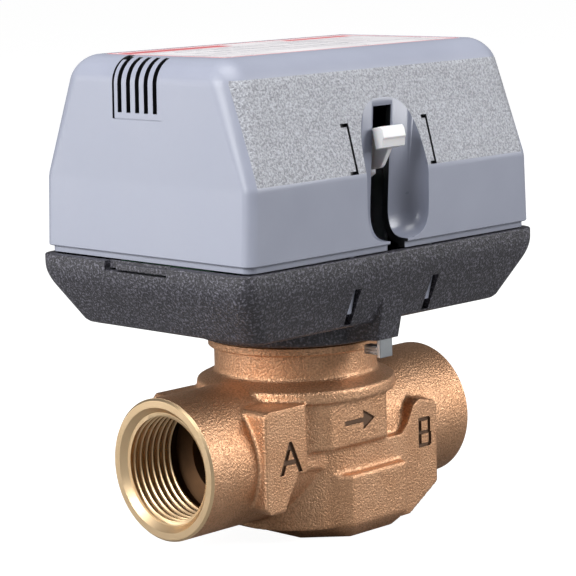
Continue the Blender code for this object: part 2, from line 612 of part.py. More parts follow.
def lead(name, shift, finish):
    """A motor lead from the motor's connector, round the gear plates, to the board."""
    route = [(20.0 + shift, 13.3, 83.2), (20.0 + shift, 17.0, 84.0 + shift), (17.0, 24.0, 82.0 + shift),
             (9.0, 27.6, 78.0 + shift), (-6.0, 27.6, 74.0 + shift), (-16.0, 24.0, 70.0 + shift),
             (-20.0, 18.5 - shift, 66.0 + shift), (-21.0, 18.0 - shift, 61.9)]
    curve = bpy.data.curves.new(name, "CURVE")
    curve.dimensions = "3D"
    curve.bevel_depth = 0.6 * MM
    curve.bevel_resolution = 2
    curve.use_fill_caps = True
    points = smooth_route(route, 3)
    spline = curve.splines.new("POLY")
    spline.points.add(len(points) - 1)
    for point, place in zip(spline.points, points):
        point.co = (*(Vector(place) * MM), 1.0)
    curve.materials.append(material(finish))
    PARTS.objects.link(bpy.data.objects.new(name, curve))


def smooth_route(route, steps):
    """Points on a Catmull-Rom curve through the route."""
    ends = [Vector(route[0])] + [Vector(p) for p in route] + [Vector(route[-1])]
    points = []
    for a, b, c, d in zip(ends, ends[1:], ends[2:], ends[3:]):
        for i in range(steps):
            t = i / steps
            points.append(0.5 * (2 * b + (c - a) * t + (2 * a - 5 * b + 4 * c - d) * t ** 2
                                 + (3 * b - a - 3 * c + d) * t ** 3))
    points.append(Vector(route[-1]))
    return points


def latch():
    plate = box("release_latch", (-2.3, -28.9, 43.4), (2.3, -27.7, 50.0), "steel")
    join(plate, box("latch_shank", (-1.3, -28.2, 44.0), (1.3, -23.2, 46.4)))


clear_scene()
PARTS = make_collection("zone_valve")
TOOLS = make_collection("cutters")
valve_body()
cartridge()
stem_group()
base()
cover()
frame()
manual_lever()
rack_yoke()
gear_train()
motor()
electrics()
lead("motor_lead_brown", 0.0, "red")
lead("motor_lead_blue", 1.6, "blue")
latch()
print(len(PARTS.objects), "parts")
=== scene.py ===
# %% [markdown]
# # A motorised zone valve, dressed around its CAD frame
# A zone valve opens or shuts one heating circuit. A bronze casting carries the water, and a
# plastic actuator twists on to its neck and drives the stem. This lesson loads the measured
# frame, then gives each part that shows the shape and the finish that its maker gave it.

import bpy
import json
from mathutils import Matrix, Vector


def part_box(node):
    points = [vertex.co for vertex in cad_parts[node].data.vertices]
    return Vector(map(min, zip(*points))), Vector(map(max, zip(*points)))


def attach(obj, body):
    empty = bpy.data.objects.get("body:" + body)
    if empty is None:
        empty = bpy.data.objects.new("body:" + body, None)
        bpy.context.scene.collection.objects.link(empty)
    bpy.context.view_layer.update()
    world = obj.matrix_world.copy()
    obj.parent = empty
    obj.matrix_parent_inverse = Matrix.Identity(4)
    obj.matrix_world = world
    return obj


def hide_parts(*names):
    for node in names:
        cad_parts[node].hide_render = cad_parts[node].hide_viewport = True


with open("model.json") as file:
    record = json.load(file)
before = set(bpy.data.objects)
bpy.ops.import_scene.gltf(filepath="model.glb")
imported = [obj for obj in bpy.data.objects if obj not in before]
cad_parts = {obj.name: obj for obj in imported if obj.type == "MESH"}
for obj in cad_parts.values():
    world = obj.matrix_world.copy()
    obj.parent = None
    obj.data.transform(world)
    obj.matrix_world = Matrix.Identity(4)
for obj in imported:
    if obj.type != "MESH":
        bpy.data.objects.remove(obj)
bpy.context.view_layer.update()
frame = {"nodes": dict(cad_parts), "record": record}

# %% [markdown]
# ## Units and a few shapes
# A drawing of such a valve is in millimetres, and Blender works in metres, so every shape
# below is made in millimetres and scaled once, when it becomes an object. The shapes start
# from a small bmesh primitive and are grown by the same operators that the editor has.

# %% Imports and the scale
import json
import math

import bmesh
import bpy
from mathutils import Matrix, Vector

MM = 0.001
scene = bpy.context.scene
body_of = {node: body for body, group in frame["record"]["behaviour"]["bodies"].items()
           for node in group}


def span(node):
    """A CAD node's lowest and highest corners, in millimetres."""
    low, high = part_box(node)
    return low / MM, high / MM


for name in ("valve_body", "base", "cover"):
    low, high = span(name)
    print(name, [round(v, 1) for v in low], [round(v, 1) for v in high])


# %% Turn a bmesh into an object
def keep(bm, name, finish=None):
    """A bmesh in millimetres becomes an object at the origin, in metres, facing outwards."""
    bmesh.ops.remove_doubles(bm, verts=bm.verts, dist=0.0005)
    bmesh.ops.recalc_face_normals(bm, faces=bm.faces)
    if bm.calc_volume(signed=True) < 0:
        bmesh.ops.reverse_faces(bm, faces=bm.faces)
    bmesh.ops.scale(bm, verts=bm.verts, vec=(MM, MM, MM))
    mesh = bpy.data.meshes.new(name)
    bm.to_mesh(mesh)
    bm.free()
    item = bpy.data.objects.new(name, mesh)
    scene.collection.objects.link(item)
    if finish:
        mesh.materials.append(finish)
    return item


def lay(bm, axis, at=(0, 0, 0)):
    """Turn a shape that was made along Z so that it lies along X or Y, then move it."""
    turns = {"X": Matrix.Rotation(math.pi / 2, 3, "Y"),
             "Y": Matrix.Rotation(-math.pi / 2, 3, "X"), "Z": Matrix.Identity(3)}
    bmesh.ops.rotate(bm, verts=bm.verts, cent=(0, 0, 0), matrix=turns[axis])
    bmesh.ops.translate(bm, verts=bm.verts, vec=at)


# %% Grow faces
def grow(bm, faces, first=False):
    """Extrude faces, drop the ones left inside, and return the new rim points and faces."""
    grown = bmesh.ops.extrude_face_region(bm, geom=faces)["geom"]
    if not first:
        bmesh.ops.delete(bm, geom=faces, context="FACES_ONLY")
    return ([item for item in grown if isinstance(item, bmesh.types.BMVert)],
            [item for item in grown if isinstance(item, bmesh.types.BMFace)])


# %% Block, spun shape, flat outline and stack
def block(name, low, high, finish=None, soft=0, steps=2):
    """A box, with its edges rounded by soft."""
    bm = bmesh.new()
    bmesh.ops.create_cube(bm, size=1)
    bmesh.ops.scale(bm, verts=bm.verts, vec=[b - a for a, b in zip(low, high)])
    bmesh.ops.translate(bm, verts=bm.verts, vec=[(a + b) / 2 for a, b in zip(low, high)])
    if soft:
        bmesh.ops.bevel(bm, geom=bm.edges[:], offset=soft, affect="EDGES", segments=steps,
                        profile=0.5, material=-1)
    return keep(bm, name, finish)


def spun(name, profile, finish=None, at=(0, 0, 0), axis="Z", steps=48, closed=False):
    """Spin a profile of (radius, height) points into a solid."""
    bm = bmesh.new()
    points = [bm.verts.new((radius, 0, height)) for radius, height in profile]
    edges = [bm.edges.new(pair) for pair in zip(points, points[1:])]
    if closed:
        edges.append(bm.edges.new((points[-1], points[0])))
    bmesh.ops.spin(bm, geom=points + edges, angle=2 * math.pi, steps=steps, axis=(0, 0, 1),
                   cent=(0, 0, 0), use_merge=True)
    lay(bm, axis, at)
    return keep(bm, name, finish)


def rod(name, radius, low, high, finish=None, at=(0, 0), axis="Z", steps=32, soft=0):
    """A round bar between two heights on its axis, with its rims rounded by soft."""
    place = {"X": (0, at[0], at[1]), "Y": (at[0], 0, at[1]), "Z": (at[0], at[1], 0)}[axis]
    profile = [(0, high), (radius - soft, high), (radius, high - soft), (radius, low + soft),
               (radius - soft, low), (0, low)]
    return spun(name, profile, finish, place, axis, steps)


def outlined(name, outline, axis, low, high, finish=None, soft=0):
    """Extrude a flat outline: (y, z) points along X, (x, z) along Y or (x, y) along Z."""
    bm = bmesh.new()
    lift = {"X": lambda a, b, c: (c, a, b), "Y": lambda a, b, c: (a, c, b),
            "Z": lambda a, b, c: (a, b, c)}[axis]
    face = bm.faces.new([bm.verts.new(lift(a, b, low)) for a, b in outline])
    tops, _ = grow(bm, [face], True)
    bmesh.ops.translate(bm, verts=tops, vec=lift(0, 0, high - low))
    if soft:
        bmesh.ops.recalc_face_normals(bm, faces=bm.faces)
        bmesh.ops.bevel(bm, geom=bm.edges[:], offset=soft, affect="EDGES", segments=3,
                        profile=0.5, material=-1, clamp_overlap=True)
    return keep(bm, name, finish)


def stack(name, sections, radius, finish=None, steps=8):
    """Grow a rounded rectangle up through (half_x, half_y, z) sections, each with its own
    corner radius if it has a fourth number."""
    bm = bmesh.new()
    half_x, half_y, z = sections[0][:3]
    bmesh.ops.create_grid(bm, x_segments=1, y_segments=1, size=1)
    bmesh.ops.scale(bm, verts=bm.verts, vec=(half_x, half_y, 1))
    bmesh.ops.bevel(bm, geom=bm.verts[:], offset=radius, affect="VERTICES", segments=steps,
                    profile=0.5, material=-1)
    bmesh.ops.translate(bm, verts=bm.verts, vec=(0, 0, z))
    top, first = bm.faces[:], True
    for next_x, next_y, next_z, *own in sections[1:]:
        next_radius = own[0] if own else radius
        ring, top = grow(bm, top, first)
        first = False
        for vert in ring:
            turn_x = (abs(vert.co.x) - half_x + radius) / radius
            turn_y = (abs(vert.co.y) - half_y + radius) / radius
            vert.co = (math.copysign(next_x - next_radius * (1 - turn_x), vert.co.x),
                       math.copysign(next_y - next_radius * (1 - turn_y), vert.co.y), next_z)
        half_x, half_y, radius = next_x, next_y, next_radius
    return keep(bm, name, finish)


# %% [markdown]
# ## Joining, cutting and finishing
# A moulder's tool and a foundry pattern are joined and cut from simple blocks too. Each
# Boolean modifier is baked straight away, so a finished piece is one plain mesh, and a tool
# with its own finish leaves that finish on the faces that it cuts. The exact solver suits
# shapes whose faces meet. The manifold solver suits the casting, which has many small faces.

# %% Bake, join, cut and dress
def bake(item):
    """Apply an object's modifiers to its mesh."""
    graph = bpy.context.evaluated_depsgraph_get()
    mesh = bpy.data.meshes.new_from_object(item.evaluated_get(graph))
    item.modifiers.clear()
    item.data = mesh
    return item


def combine(item, operation, tools, solver="EXACT"):
    for tool in tools:
        step = item.modifiers.new("shape", "BOOLEAN")
        step.operation = operation
        step.solver = solver
        step.object = tool
        step.material_mode = "TRANSFER"
    bake(item)
    for tool in tools:
        bpy.data.objects.remove(tool, do_unlink=True)
    return item


def join(item, *tools, solver="EXACT"):
    return combine(item, "UNION", tools, solver)


def cut(item, *tools, solver="EXACT"):
    return combine(item, "DIFFERENCE", tools, solver)


def soften(item, width, angle=35, segments=2):
    """Round every edge that is sharper than angle, as a mould or a file leaves it."""
    step = item.modifiers.new("soften", "BEVEL")
    step.width = width * MM
    step.segments = segments
    step.limit_method = "ANGLE"
    step.angle_limit = math.radians(angle)
    step.miter_outer = "MITER_ARC"
    return bake(item)


def dress(item, body, stands_for=(), sharp=35):
    """Give a finished piece its shading, its body and what it stands for. Weighted normals
    keep large flat faces flat beside small ones."""
    item.data.shade_smooth()
    item.data.set_sharp_from_angle(angle=math.radians(sharp))
    even = item.modifiers.new("even_shading", "WEIGHTED_NORMAL")
    even.keep_sharp = True
    bake(item)
    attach(item, body)
    if stands_for:
        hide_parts(*stands_for)
    print(item.name, len(item.data.polygons), "faces")
    return item


# %% [markdown]
# ## Colour and nodes
# Paint charts and moulders' plaques are read as sRGB hex values. Shaders work in linear
# light, so one function turns the one into the other, and one function adds a node.

# %% Colour and node helpers
def colour(hex_code):
    """An sRGB hex value as linear RGBA."""
    channels = [int(hex_code[i:i + 2], 16) / 255 for i in (0, 2, 4)]
    return (*[c / 12.92 if c <= 0.04045 else ((c + 0.055) / 1.055) ** 2.4 for c in channels], 1)


def add(tree, kind, settings, links=()):
    """Add a node, set its properties and sockets, and link sockets to other nodes' outputs."""
    made = tree.nodes.new("ShaderNode" + kind)
    for key, value in settings.items():
        if isinstance(key, int) or key in made.inputs:
            made.inputs[key].default_value = value
        else:
            setattr(made, key, value)
    for key, output in dict(links).items():
        tree.links.new(output, made.inputs[key])
    return made


def start(name, roughness, metallic=0.0, ior=None, **sockets):
    """A new material with its shader's uniform values set, and its Object coordinates."""
    made = bpy.data.materials.new(name)
    made.use_nodes = True
    tree = made.node_tree
    shader = tree.nodes["Principled BSDF"]
    shader.inputs["Roughness"].default_value = roughness
    shader.inputs["Metallic"].default_value = metallic
    if ior:
        shader.inputs["IOR"].default_value = ior
    for key, value in sockets.items():
        shader.inputs[key.replace("_", " ")].default_value = value
    place = add(tree, "TexCoord", {}).outputs["Object"]
    return made, tree, shader, place


def mottle(tree, shader, place, size, dark, light, spread=0.5):
    """Colour that wanders between two values over patches of size millimetres."""
    patches = add(tree, "TexNoise", {"Scale": 1 / (size * MM), "Detail": 4.0, "Roughness": 0.6},
                  {"Vector": place})
    ramp = add(tree, "ValToRGB", {}, {"Fac": patches.outputs["Fac"]})
    ramp.color_ramp.elements[0].position = 0.5 - spread / 2
    ramp.color_ramp.elements[1].position = 0.5 + spread / 2
    ramp.color_ramp.elements[0].color = colour(dark)
    ramp.color_ramp.elements[1].color = colour(light)
    tree.links.new(ramp.outputs["Color"], shader.inputs["Base Color"])
    return patches


def tint(tree, shader, height, low, high, darkest, brightest):
    """Scale the base colour by a texture, from darkest at low to brightest at high."""
    scale = add(tree, "MapRange", {"From Min": low, "From Max": high, "To Min": darkest,
                                   "To Max": brightest}, {"Value": height})
    base = shader.inputs["Base Color"].links[0].from_socket
    tinted = add(tree, "VectorMath", {"operation": "SCALE"},
                 {0: base, "Scale": scale.outputs["Result"]})
    tree.links.new(tinted.outputs["Vector"], shader.inputs["Base Color"])


def relief(tree, shader, layers):
    """Stack (height output, depth in millimetres, strength) layers of bump on the shader."""
    normal = None
    for height, depth, strength in layers:
        links = {"Height": height}
        if normal:
            links["Normal"] = normal
        normal = add(tree, "Bump", {"Distance": depth * MM, "Strength": strength},
                     links).outputs["Normal"]
    tree.links.new(normal, shader.inputs["Normal"])


# %% [markdown]
# ## Plastics
# The housing is moulded ABS. Its tool is spark-eroded, which gives the plastic a fine satin
# skin, and the sloping panels have a coarser etched grain that glitters. The base is a
# glass-filled nylon, darker and more matt. Fine noise, a few tenths of a millimetre across,
# gives the grain, and slow patches of a slightly different tone keep it from looking flat.

# %% Moulded plastics
def moulded(name, dark, light, roughness, grain, depth, ior=1.5, patch=18.0, fleck=(), **extra):
    """A moulded plastic with a grain of the given size and depth, in millimetres."""
    made, tree, shader, place = start(name, roughness, 0.0, ior, **extra)
    patches = mottle(tree, shader, place, patch, dark, light)
    fine = add(tree, "TexNoise", {"Scale": 1 / (grain * MM), "Detail": 3.0, "Roughness": 0.65},
               {"Vector": place})
    if fleck:
        tint(tree, shader, fine.outputs["Fac"], *fleck)
    gloss = add(tree, "MapRange", {"From Min": 0.3, "From Max": 0.7, "To Min": roughness - 0.06,
                                   "To Max": roughness + 0.06}, {"Value": patches.outputs["Fac"]})
    tree.links.new(gloss.outputs["Result"], shader.inputs["Roughness"])
    relief(tree, shader, [(fine.outputs["Fac"], depth, 1.0)])
    return made


# ABS, pale blue-grey, fine spark finish: a soft sheen without a clear reflection.
cover_abs = moulded("spark_finished_abs_cover", "8C909F", "9296A5", 0.42, 0.35, 0.012, 1.53)
# The same ABS from an etched tool face: coarse grain with bright and dark specks.
cover_grained = moulded("etched_abs_panels", "94969D", "9C9EA5", 0.33, 0.52, 0.30, 1.53,
                        fleck=(0.38, 0.62, 0.66, 1.38))
# The scoop's tool face is polished, so its plastic is smoother there; its darker colour is
# painted shade, for the shade in the deep scoop.
scoop_abs_painted_shade = moulded("polished_abs_scoop_painted_shade", "757988", "7B7F8E", 0.3, 0.35, 0.006, 1.53)
# Glass-filled nylon, anthracite: matt, with a slightly mealy surface.
base_nylon = moulded("glass_filled_nylon_base", "313036", "39383E", 0.42, 0.55, 0.25, 1.5,
                     fleck=(0.5, 0.66, 0.75, 4.2))
# Acetal, natural white: smooth, a little light goes into it.
white_acetal = moulded("natural_acetal", "D2D2D4", "DADADC", 0.35, 0.4, 0.008, 1.48, 8.0,
                       Subsurface_Weight=0.15, Subsurface_Scale=0.002)
# Phenolic or PBT, black: small electrical mouldings with a dull gloss. The same black also
# paints shade on the walls of the lever slot, the vents and the dark moulded lines, and on
# the sheet behind the vents.
black_pbt_and_painted_shade = moulded("black_pbt_mouldings_and_painted_shade", "17181A", "1E1F22", 0.42, 0.3, 0.012)
# Polyamide, terminal green.
green_nylon = moulded("green_nylon_terminals", "2E7D4B", "358A54", 0.4, 0.3, 0.01)
red_abs = moulded("red_abs_button", "9C2F27", "A8362C", 0.38, 0.3, 0.008)
# Plasticised PVC wire covers: smooth with a waxy gloss.
brown_pvc = moulded("brown_pvc_wire", "4F2F20", "5A3726", 0.38, 1.2, 0.01)
blue_pvc = moulded("blue_pvc_wire", "2A4C86", "315699", 0.38, 1.2, 0.01)
# Nitrile rubber O-rings: matt black with a light bloom.
nitrile = moulded("nitrile_rubber", "161617", "232324", 0.62, 0.5, 0.02, 1.52, 3.0)
print(len(bpy.data.materials), "materials so far")

# %% [markdown]
# ## Metals
# The body is sand-cast bronze, shot-blasted: warm, matt, with a pebbled skin about half a
# millimetre across; its pits are painted darker and its tops lighter, as painted shade and
# painted highlight. The port faces, threads and bores are turned, so they are brighter and
# carry fine rings left by the tool. Plated steel sheet has faint streaks along the way it
# was rolled.

# %% Cast and turned metals
def cast_metal():
    """Shot-blasted cast bronze: pebbles of two sizes, painted darker in the hollows and lighter on
    the tops.
    """
    made, tree, shader, place = start("shot_blasted_cast_bronze", 0.5, 1.0)
    mottle(tree, shader, place, 9.0, "C99B77", "D6AA87", 0.4)
    pebbles = add(tree, "TexNoise", {"Scale": 1 / (0.5 * MM), "Detail": 2.5, "Roughness": 0.55},
                  {"Vector": place})
    grit = add(tree, "TexNoise", {"Scale": 1 / (0.28 * MM), "Detail": 2.0, "Roughness": 0.6},
               {"Vector": place})
    # Painted shade and highlight: the colour is darker in the pebbles' hollows and lighter on
    # their tops.
    tint(tree, shader, pebbles.outputs["Fac"], 0.36, 0.6, 0.8, 1.08)
    rough = add(tree, "MapRange", {"From Min": 0.35, "From Max": 0.65, "To Min": 0.58,
                                   "To Max": 0.42}, {"Value": pebbles.outputs["Fac"]})
    tree.links.new(rough.outputs["Result"], shader.inputs["Roughness"])
    relief(tree, shader, [(pebbles.outputs["Fac"], 0.26, 0.9), (grit.outputs["Fac"], 0.10, 0.8)])
    return made


def turned_metal(name, dark, light, roughness, axis, centre=(0, 0, 0), pitch=0.45, depth=0.012):
    """Metal from a lathe: rings about an axis, pitch millimetres apart."""
    made, tree, shader, place = start(name, roughness, 1.0)
    mottle(tree, shader, place, 6.0, dark, light)
    centred = add(tree, "Mapping", {"Location": [-c * MM for c in centre]}, {"Vector": place})
    rings = add(tree, "TexWave", {"wave_type": "RINGS", "rings_direction": axis,
                                  "Scale": 0.314 / (pitch * MM), "Distortion": 1.2, "Detail": 2.0,
                                  "Detail Scale": 1.5}, {"Vector": centred.outputs["Vector"]})
    fine = add(tree, "TexNoise", {"Scale": 1 / (0.5 * MM), "Detail": 2.0}, {"Vector": place})
    relief(tree, shader, [(rings.outputs["Fac"], depth, 0.6), (fine.outputs["Fac"], 0.02, 0.35)])
    return made


def rolled_metal(name, dark, light, roughness, stretch, depth=0.008):
    """Plated sheet: streaks drawn out along one axis by the rolling mill."""
    made, tree, shader, place = start(name, roughness, 1.0)
    mottle(tree, shader, place, 7.0, dark, light)
    drawn = add(tree, "Mapping", {"Scale": stretch}, {"Vector": place})
    streaks = add(tree, "TexNoise", {"Scale": 1 / (0.4 * MM), "Detail": 3.0},
                  {"Vector": drawn.outputs["Vector"]})
    relief(tree, shader, [(streaks.outputs["Fac"], depth, 0.8)])
    return made


PORT_Z = 21.3
bronze_cast = cast_metal()
bronze_turned = turned_metal("turned_bronze_ports", "E6C79C", "F0D3AB", 0.38, "X",
                             (0, 0, PORT_Z))
# The passage behind each thread gets dark bronze: painted shade for the dark inside of the bore.
bore_painted_shade = turned_metal("bore_painted_shade_bronze", "4A3626", "5C4430", 0.6, "X", (0, 0, PORT_Z))
bronze_bored = turned_metal("bored_bronze_chamber", "A07A50", "B38C60", 0.42, "Z")
brass_turned = turned_metal("turned_brass_fittings", "C2A15C", "D2B36E", 0.26, "Z")
stainless = turned_metal("ground_stainless_stem", "B4B4B2", "C6C6C4", 0.2, "Z", pitch=0.3)
steel_zinc = rolled_metal("zinc_plated_sheet", "A9ADB2", "BFC3C6", 0.33, (1, 0.06, 1))
steel_can = rolled_metal("nickel_plated_can", "A8A69F", "BDBAB2", 0.25, (0.06, 1, 1))
print("metals ready:", len(bpy.data.materials), "materials")

# %% [markdown]
# ## The view
# The picture of such a valve is taken with a long lens, so that its sides stay almost
# parallel, from a little above and in front of port A. The camera looks at the middle of
# the object, and a small roll stands for a hand-held tripod head.

# %% Camera
def aim_camera(azimuth, elevation, roll, distance, target, lens):
    """A camera on a sphere round the target, angles in degrees and sizes in millimetres."""
    a, e, r = (math.radians(v) for v in (azimuth, elevation, roll))
    back = Vector((math.sin(a) * math.cos(e), -math.cos(a) * math.cos(e), math.sin(e)))
    right = Vector((math.cos(a), math.sin(a), 0))
    up = back.cross(right)
    across = math.cos(r) * right + math.sin(r) * up
    upward = -math.sin(r) * right + math.cos(r) * up
    data = bpy.data.cameras.new("camera")
    data.lens, data.sensor_width, data.clip_start = lens, 36.0, 0.02
    camera = bpy.data.objects.new("camera", data)
    scene.collection.objects.link(camera)
    place = Vector(target) + back * distance
    turn = Matrix((across, upward, back)).transposed().to_4x4()
    camera.matrix_world = Matrix.Translation(place * MM) @ turn
    scene.camera = camera
    return camera


camera = aim_camera(-45.56, 9.03, -1.49, 552.77, (-1.93, 0, 57.2), 147.72)
print("camera at", [round(v, 3) for v in camera.location])

# %% [markdown]
# ## Studio light
# A catalogue picture is lit by big soft boxes on a white sweep: a strong one to the left, a
# weaker one to the right, one overhead and a low one behind that shines on the turned rims.
# The room and the floor look white, but they light the object only a little, so that its
# undersides stay dark. The view transform is the plain one, so that white stays white.

# %% Lights, floor and world
def soft_box(name, place, size, power):
    """A square light at a place in metres, turned to the middle of the object."""
    data = bpy.data.lights.new(name, "AREA")
    data.shape, data.size, data.energy = "SQUARE", size, power
    item = bpy.data.objects.new(name, data)
    aim = Vector((0, 0, 0.06)) - Vector(place)
    turn = aim.to_track_quat("-Z", "Y").to_matrix().to_4x4()
    item.matrix_world = Matrix.Translation(place) @ turn
    scene.collection.objects.link(item)
    return item


soft_box("left_box", (-0.95, 0.0, 0.52), 0.45, 11.8)
soft_box("right_box", (0.6, -0.77, 0.48), 0.5, 8.6)
soft_box("rim_box", (-0.62, 0.62, 0.13), 0.34, 2.2)
soft_box("top_box", (-0.1, -0.15, 0.95), 0.6, 6.6)

def glow(tree, socket, lighting, seen):
    """Drive a strength socket: one level for light on the object, one for what is seen."""
    path = add(tree, "LightPath", {})
    level = add(tree, "MapRange", {"To Min": lighting, "To Max": seen},
                {"Value": path.outputs["Is Camera Ray"]})
    tree.links.new(level.outputs["Result"], socket)


world = bpy.data.worlds.new("white_room")
world.use_nodes = True
backdrop = world.node_tree.nodes["Background"]
backdrop.inputs["Color"].default_value = (1, 1, 1, 1)
glow(world.node_tree, backdrop.inputs["Strength"], 0.15, 1.0)
scene.world = world
scene.view_settings.view_transform = "Standard"

floor_paint, tree, shader, place = start("white_sweep", 0.9)
mottle(tree, shader, place, 60.0, "828282", "888888")
shader.inputs["Specular IOR Level"].default_value = 0.0
shader.inputs["Emission Color"].default_value = (1, 1, 1, 1)
glow(tree, shader.inputs["Emission Strength"], 0.0, 0.95)
bm = bmesh.new()
bmesh.ops.create_grid(bm, x_segments=1, y_segments=1, size=9000)
floor = keep(bm, "floor", floor_paint)
print("four soft boxes and a floor")

# %% [markdown]
# ## The valve body
# The body is one bronze casting: two round port sockets, a flat web between them, a pad for
# the size mark, a square heel to hold in a vice, and a neck for the actuator. A foundry
# pattern has no sharp corners, so the blocks are joined roughly first, then remeshed with
# half-millimetre voxels and smoothed, which melts a small fillet into every corner.

# %% Rough casting
PLATE_Y, PAD_Y = 18.5, 20.2
CAST_END = 44.4


def raised(points):
    """An outline that was drawn from the port axis, lifted to the port's height."""
    return [(x, z + PORT_Z) for x, z in points]


FIN_A = [(-29.2, 11.9), (-28.2, 12.9), (-15.8, 12.9), (-15.8, -3.0), (-18.6, -2.8),
         (-21.7, -7.7), (-23.3, -10.9), (-27.5, -10.9), (-29.2, -9.3)]
WEB_A = [(-17.0, 12.9), (0, 12.9), (0, -4.2), (-8, -3.9), (-17.0, -3.0)]
WEB_B = [(29.2, 5.4), (28.2, 6.6), (22.8, 7.8), (20.6, 6.6), (18.3, 2.2), (16.3, 0.3), (0, 0.3),
         (0, -17.0), (15.0, -19.7), (18.9, -19.7), (29.2, -13.4)]
PAD = [(-14.4, -16.6), (-9.3, -PAD_Y), (9.3, -PAD_Y), (12.4, -16.7),
       (12.4, 16.7), (9.3, PAD_Y), (-9.3, PAD_Y), (-14.4, 16.6)]
HEEL = [(-3.2, -20.6), (15.8, -20.6), (15.8, 20.6), (-3.2, 20.6), (-12.5, 11.5), (-12.5, -11.5)]
FOOT = [(-0.6, -17.4), (13.4, -17.4), (13.4, 17.4), (-0.6, 17.4), (-9.2, 9.0), (-9.2, -9.0)]


def chamfered_heel():
    """The heel block, grown up from its smaller foot."""
    bm = bmesh.new()
    face = bm.faces.new([bm.verts.new((x, y, 0)) for x, y in FOOT])
    ring, top = grow(bm, [face], True)
    for vert in ring:
        x, y = HEEL[FOOT.index((round(vert.co.x, 3), round(vert.co.y, 3)))]
        vert.co = (x, y, 3.5)
    ring, top = grow(bm, top)
    bmesh.ops.translate(bm, verts=ring, vec=(0, 0, PORT_Z - 5.7 - 3.5))
    return keep(bm, "heel")


casting = rod("valve_casting", 16.34, -CAST_END, CAST_END, at=(0, PORT_Z), axis="X", steps=72)
join(casting, outlined("fin_a", raised(FIN_A), "Y", -PLATE_Y, PLATE_Y),
     outlined("web_a", raised(WEB_A), "Y", -16.6, 16.6),
     outlined("web_b", raised(WEB_B), "Y", -PLATE_Y, PLATE_Y),
     outlined("pad", PAD, "Z", PORT_Z + 0.9, PORT_Z + 12.6), chamfered_heel(),
     rod("core", 18.4, 3.0, 35.0, steps=64),
     spun("neck", [(0, 47.5), (19.14, 47.5), (19.14, 38.4), (23.4, 36.3), (23.4, 33.6),
                   (0, 33.6)], steps=72))
print("rough casting:", len(casting.data.polygons), "faces")


# %% [markdown]
# Port letters and a flow arrow are sunk into the casting. The letters only tell the fitter
# which port is which. The A is a text object made into a mesh and the B is made of bars.
# The tools leave a dark colour in the marks, which is painted shade for the shade in the
# sunk strokes.

# %% Letter tool
def letter(character, size, x, z, front, depth):
    """A letter as a cutting tool that goes depth into a face at y = front."""
    text = bpy.data.curves.new("letter", "FONT")
    text.body, text.size, text.align_x, text.align_y = character, size * MM, "CENTER", "CENTER"
    text.extrude, text.offset = depth * MM, 0.1 * MM
    text.resolution_u = 6
    item = bpy.data.objects.new("letter_" + character, text)
    scene.collection.objects.link(item)
    graph = bpy.context.evaluated_depsgraph_get()
    mesh = bpy.data.meshes.new_from_object(item.evaluated_get(graph))
    bpy.data.objects.remove(item, do_unlink=True)
    mesh.transform(Matrix.Translation((x, front, z)) @ Matrix.Rotation(math.pi / 2, 4, "X")
                   @ Matrix.Scale(1 / MM, 4))
    bm = bmesh.new()
    bm.from_mesh(mesh)
    return keep(bm, "letter_" + character, letter_painted_shade)


# %% Melt the pattern into a casting
melt = casting.modifiers.new("voxels", "REMESH")
melt.mode, melt.voxel_size = "VOXEL", 0.45 * MM
settle = casting.modifiers.new("settle", "SMOOTH")
settle.factor, settle.iterations = 0.5, 4
bake(casting)
casting.data.materials.clear()
casting.data.materials.append(bronze_cast)
print("casting:", len(casting.data.polygons), "faces")

# %% Cut the letters and the flow arrow
# Painted shade: the dark colour that the letter and arrow tools leave in the marks.
letter_painted_shade = moulded("painted_shade_in_letters", "5E4430", "6E513A", 0.7, 0.5, 0.06)
ARROW = [(-5.0, -0.55), (1.2, -0.55), (1.2, -2.3), (5.2, 0), (1.2, 2.3), (1.2, 0.55), (-5.0, 0.55)]
arrow_at = (0.0, PORT_Z + 6.6)
# The B is a stencil letter, made of bars: low x, high x, low z and high z from its middle.
B_X, B_Z, MARK_DEPTH = 24.6, PORT_Z - 0.6, 0.6
B_BARS = [(-2.3, -1.2, -3.6, 3.6), (-1.5, 1.6, 2.7, 3.6), (-1.5, 1.9, -0.5, 0.4),
          (-1.5, 1.9, -3.6, -2.7), (1.0, 2.0, 0.1, 3.3), (1.3, 2.3, -3.3, -0.2)]
bars = [block(f"letter_b_{k}", (B_X + left, -PLATE_Y - 1, B_Z + low),
              (B_X + right, -PLATE_Y + MARK_DEPTH, B_Z + high), letter_painted_shade)
        for k, (left, right, low, high) in enumerate(B_BARS)]
cut(casting, join(bars[0], *bars[1:]), solver="MANIFOLD")
cut(casting, letter("A", 10.6, -21.2, PORT_Z + 1.0, -PLATE_Y, MARK_DEPTH),
    outlined("arrow", [(x + arrow_at[0], z + arrow_at[1]) for x, z in ARROW], "Y",
             -PAD_Y - 1, -PAD_Y + 0.45, letter_painted_shade), solver="MANIFOLD")
print("with letters:", len(casting.data.polygons), "faces")

# %% [markdown]
# ## Machining the casting
# A lathe faces each port, cuts a lead-in chamfer and taps a parallel pipe thread of 1.814 mm
# pitch. Spinning one tooth of the thread while it moves along its axis makes the tap. The
# chamber for the cartridge is bored from above, and the spigot for the actuator is turned.

# %% The tap
PITCH, MINOR_R, MAJOR_R = 1.814, 12.06, 13.22
FACE_X, THREAD_DEPTH = 43.65, 16.5


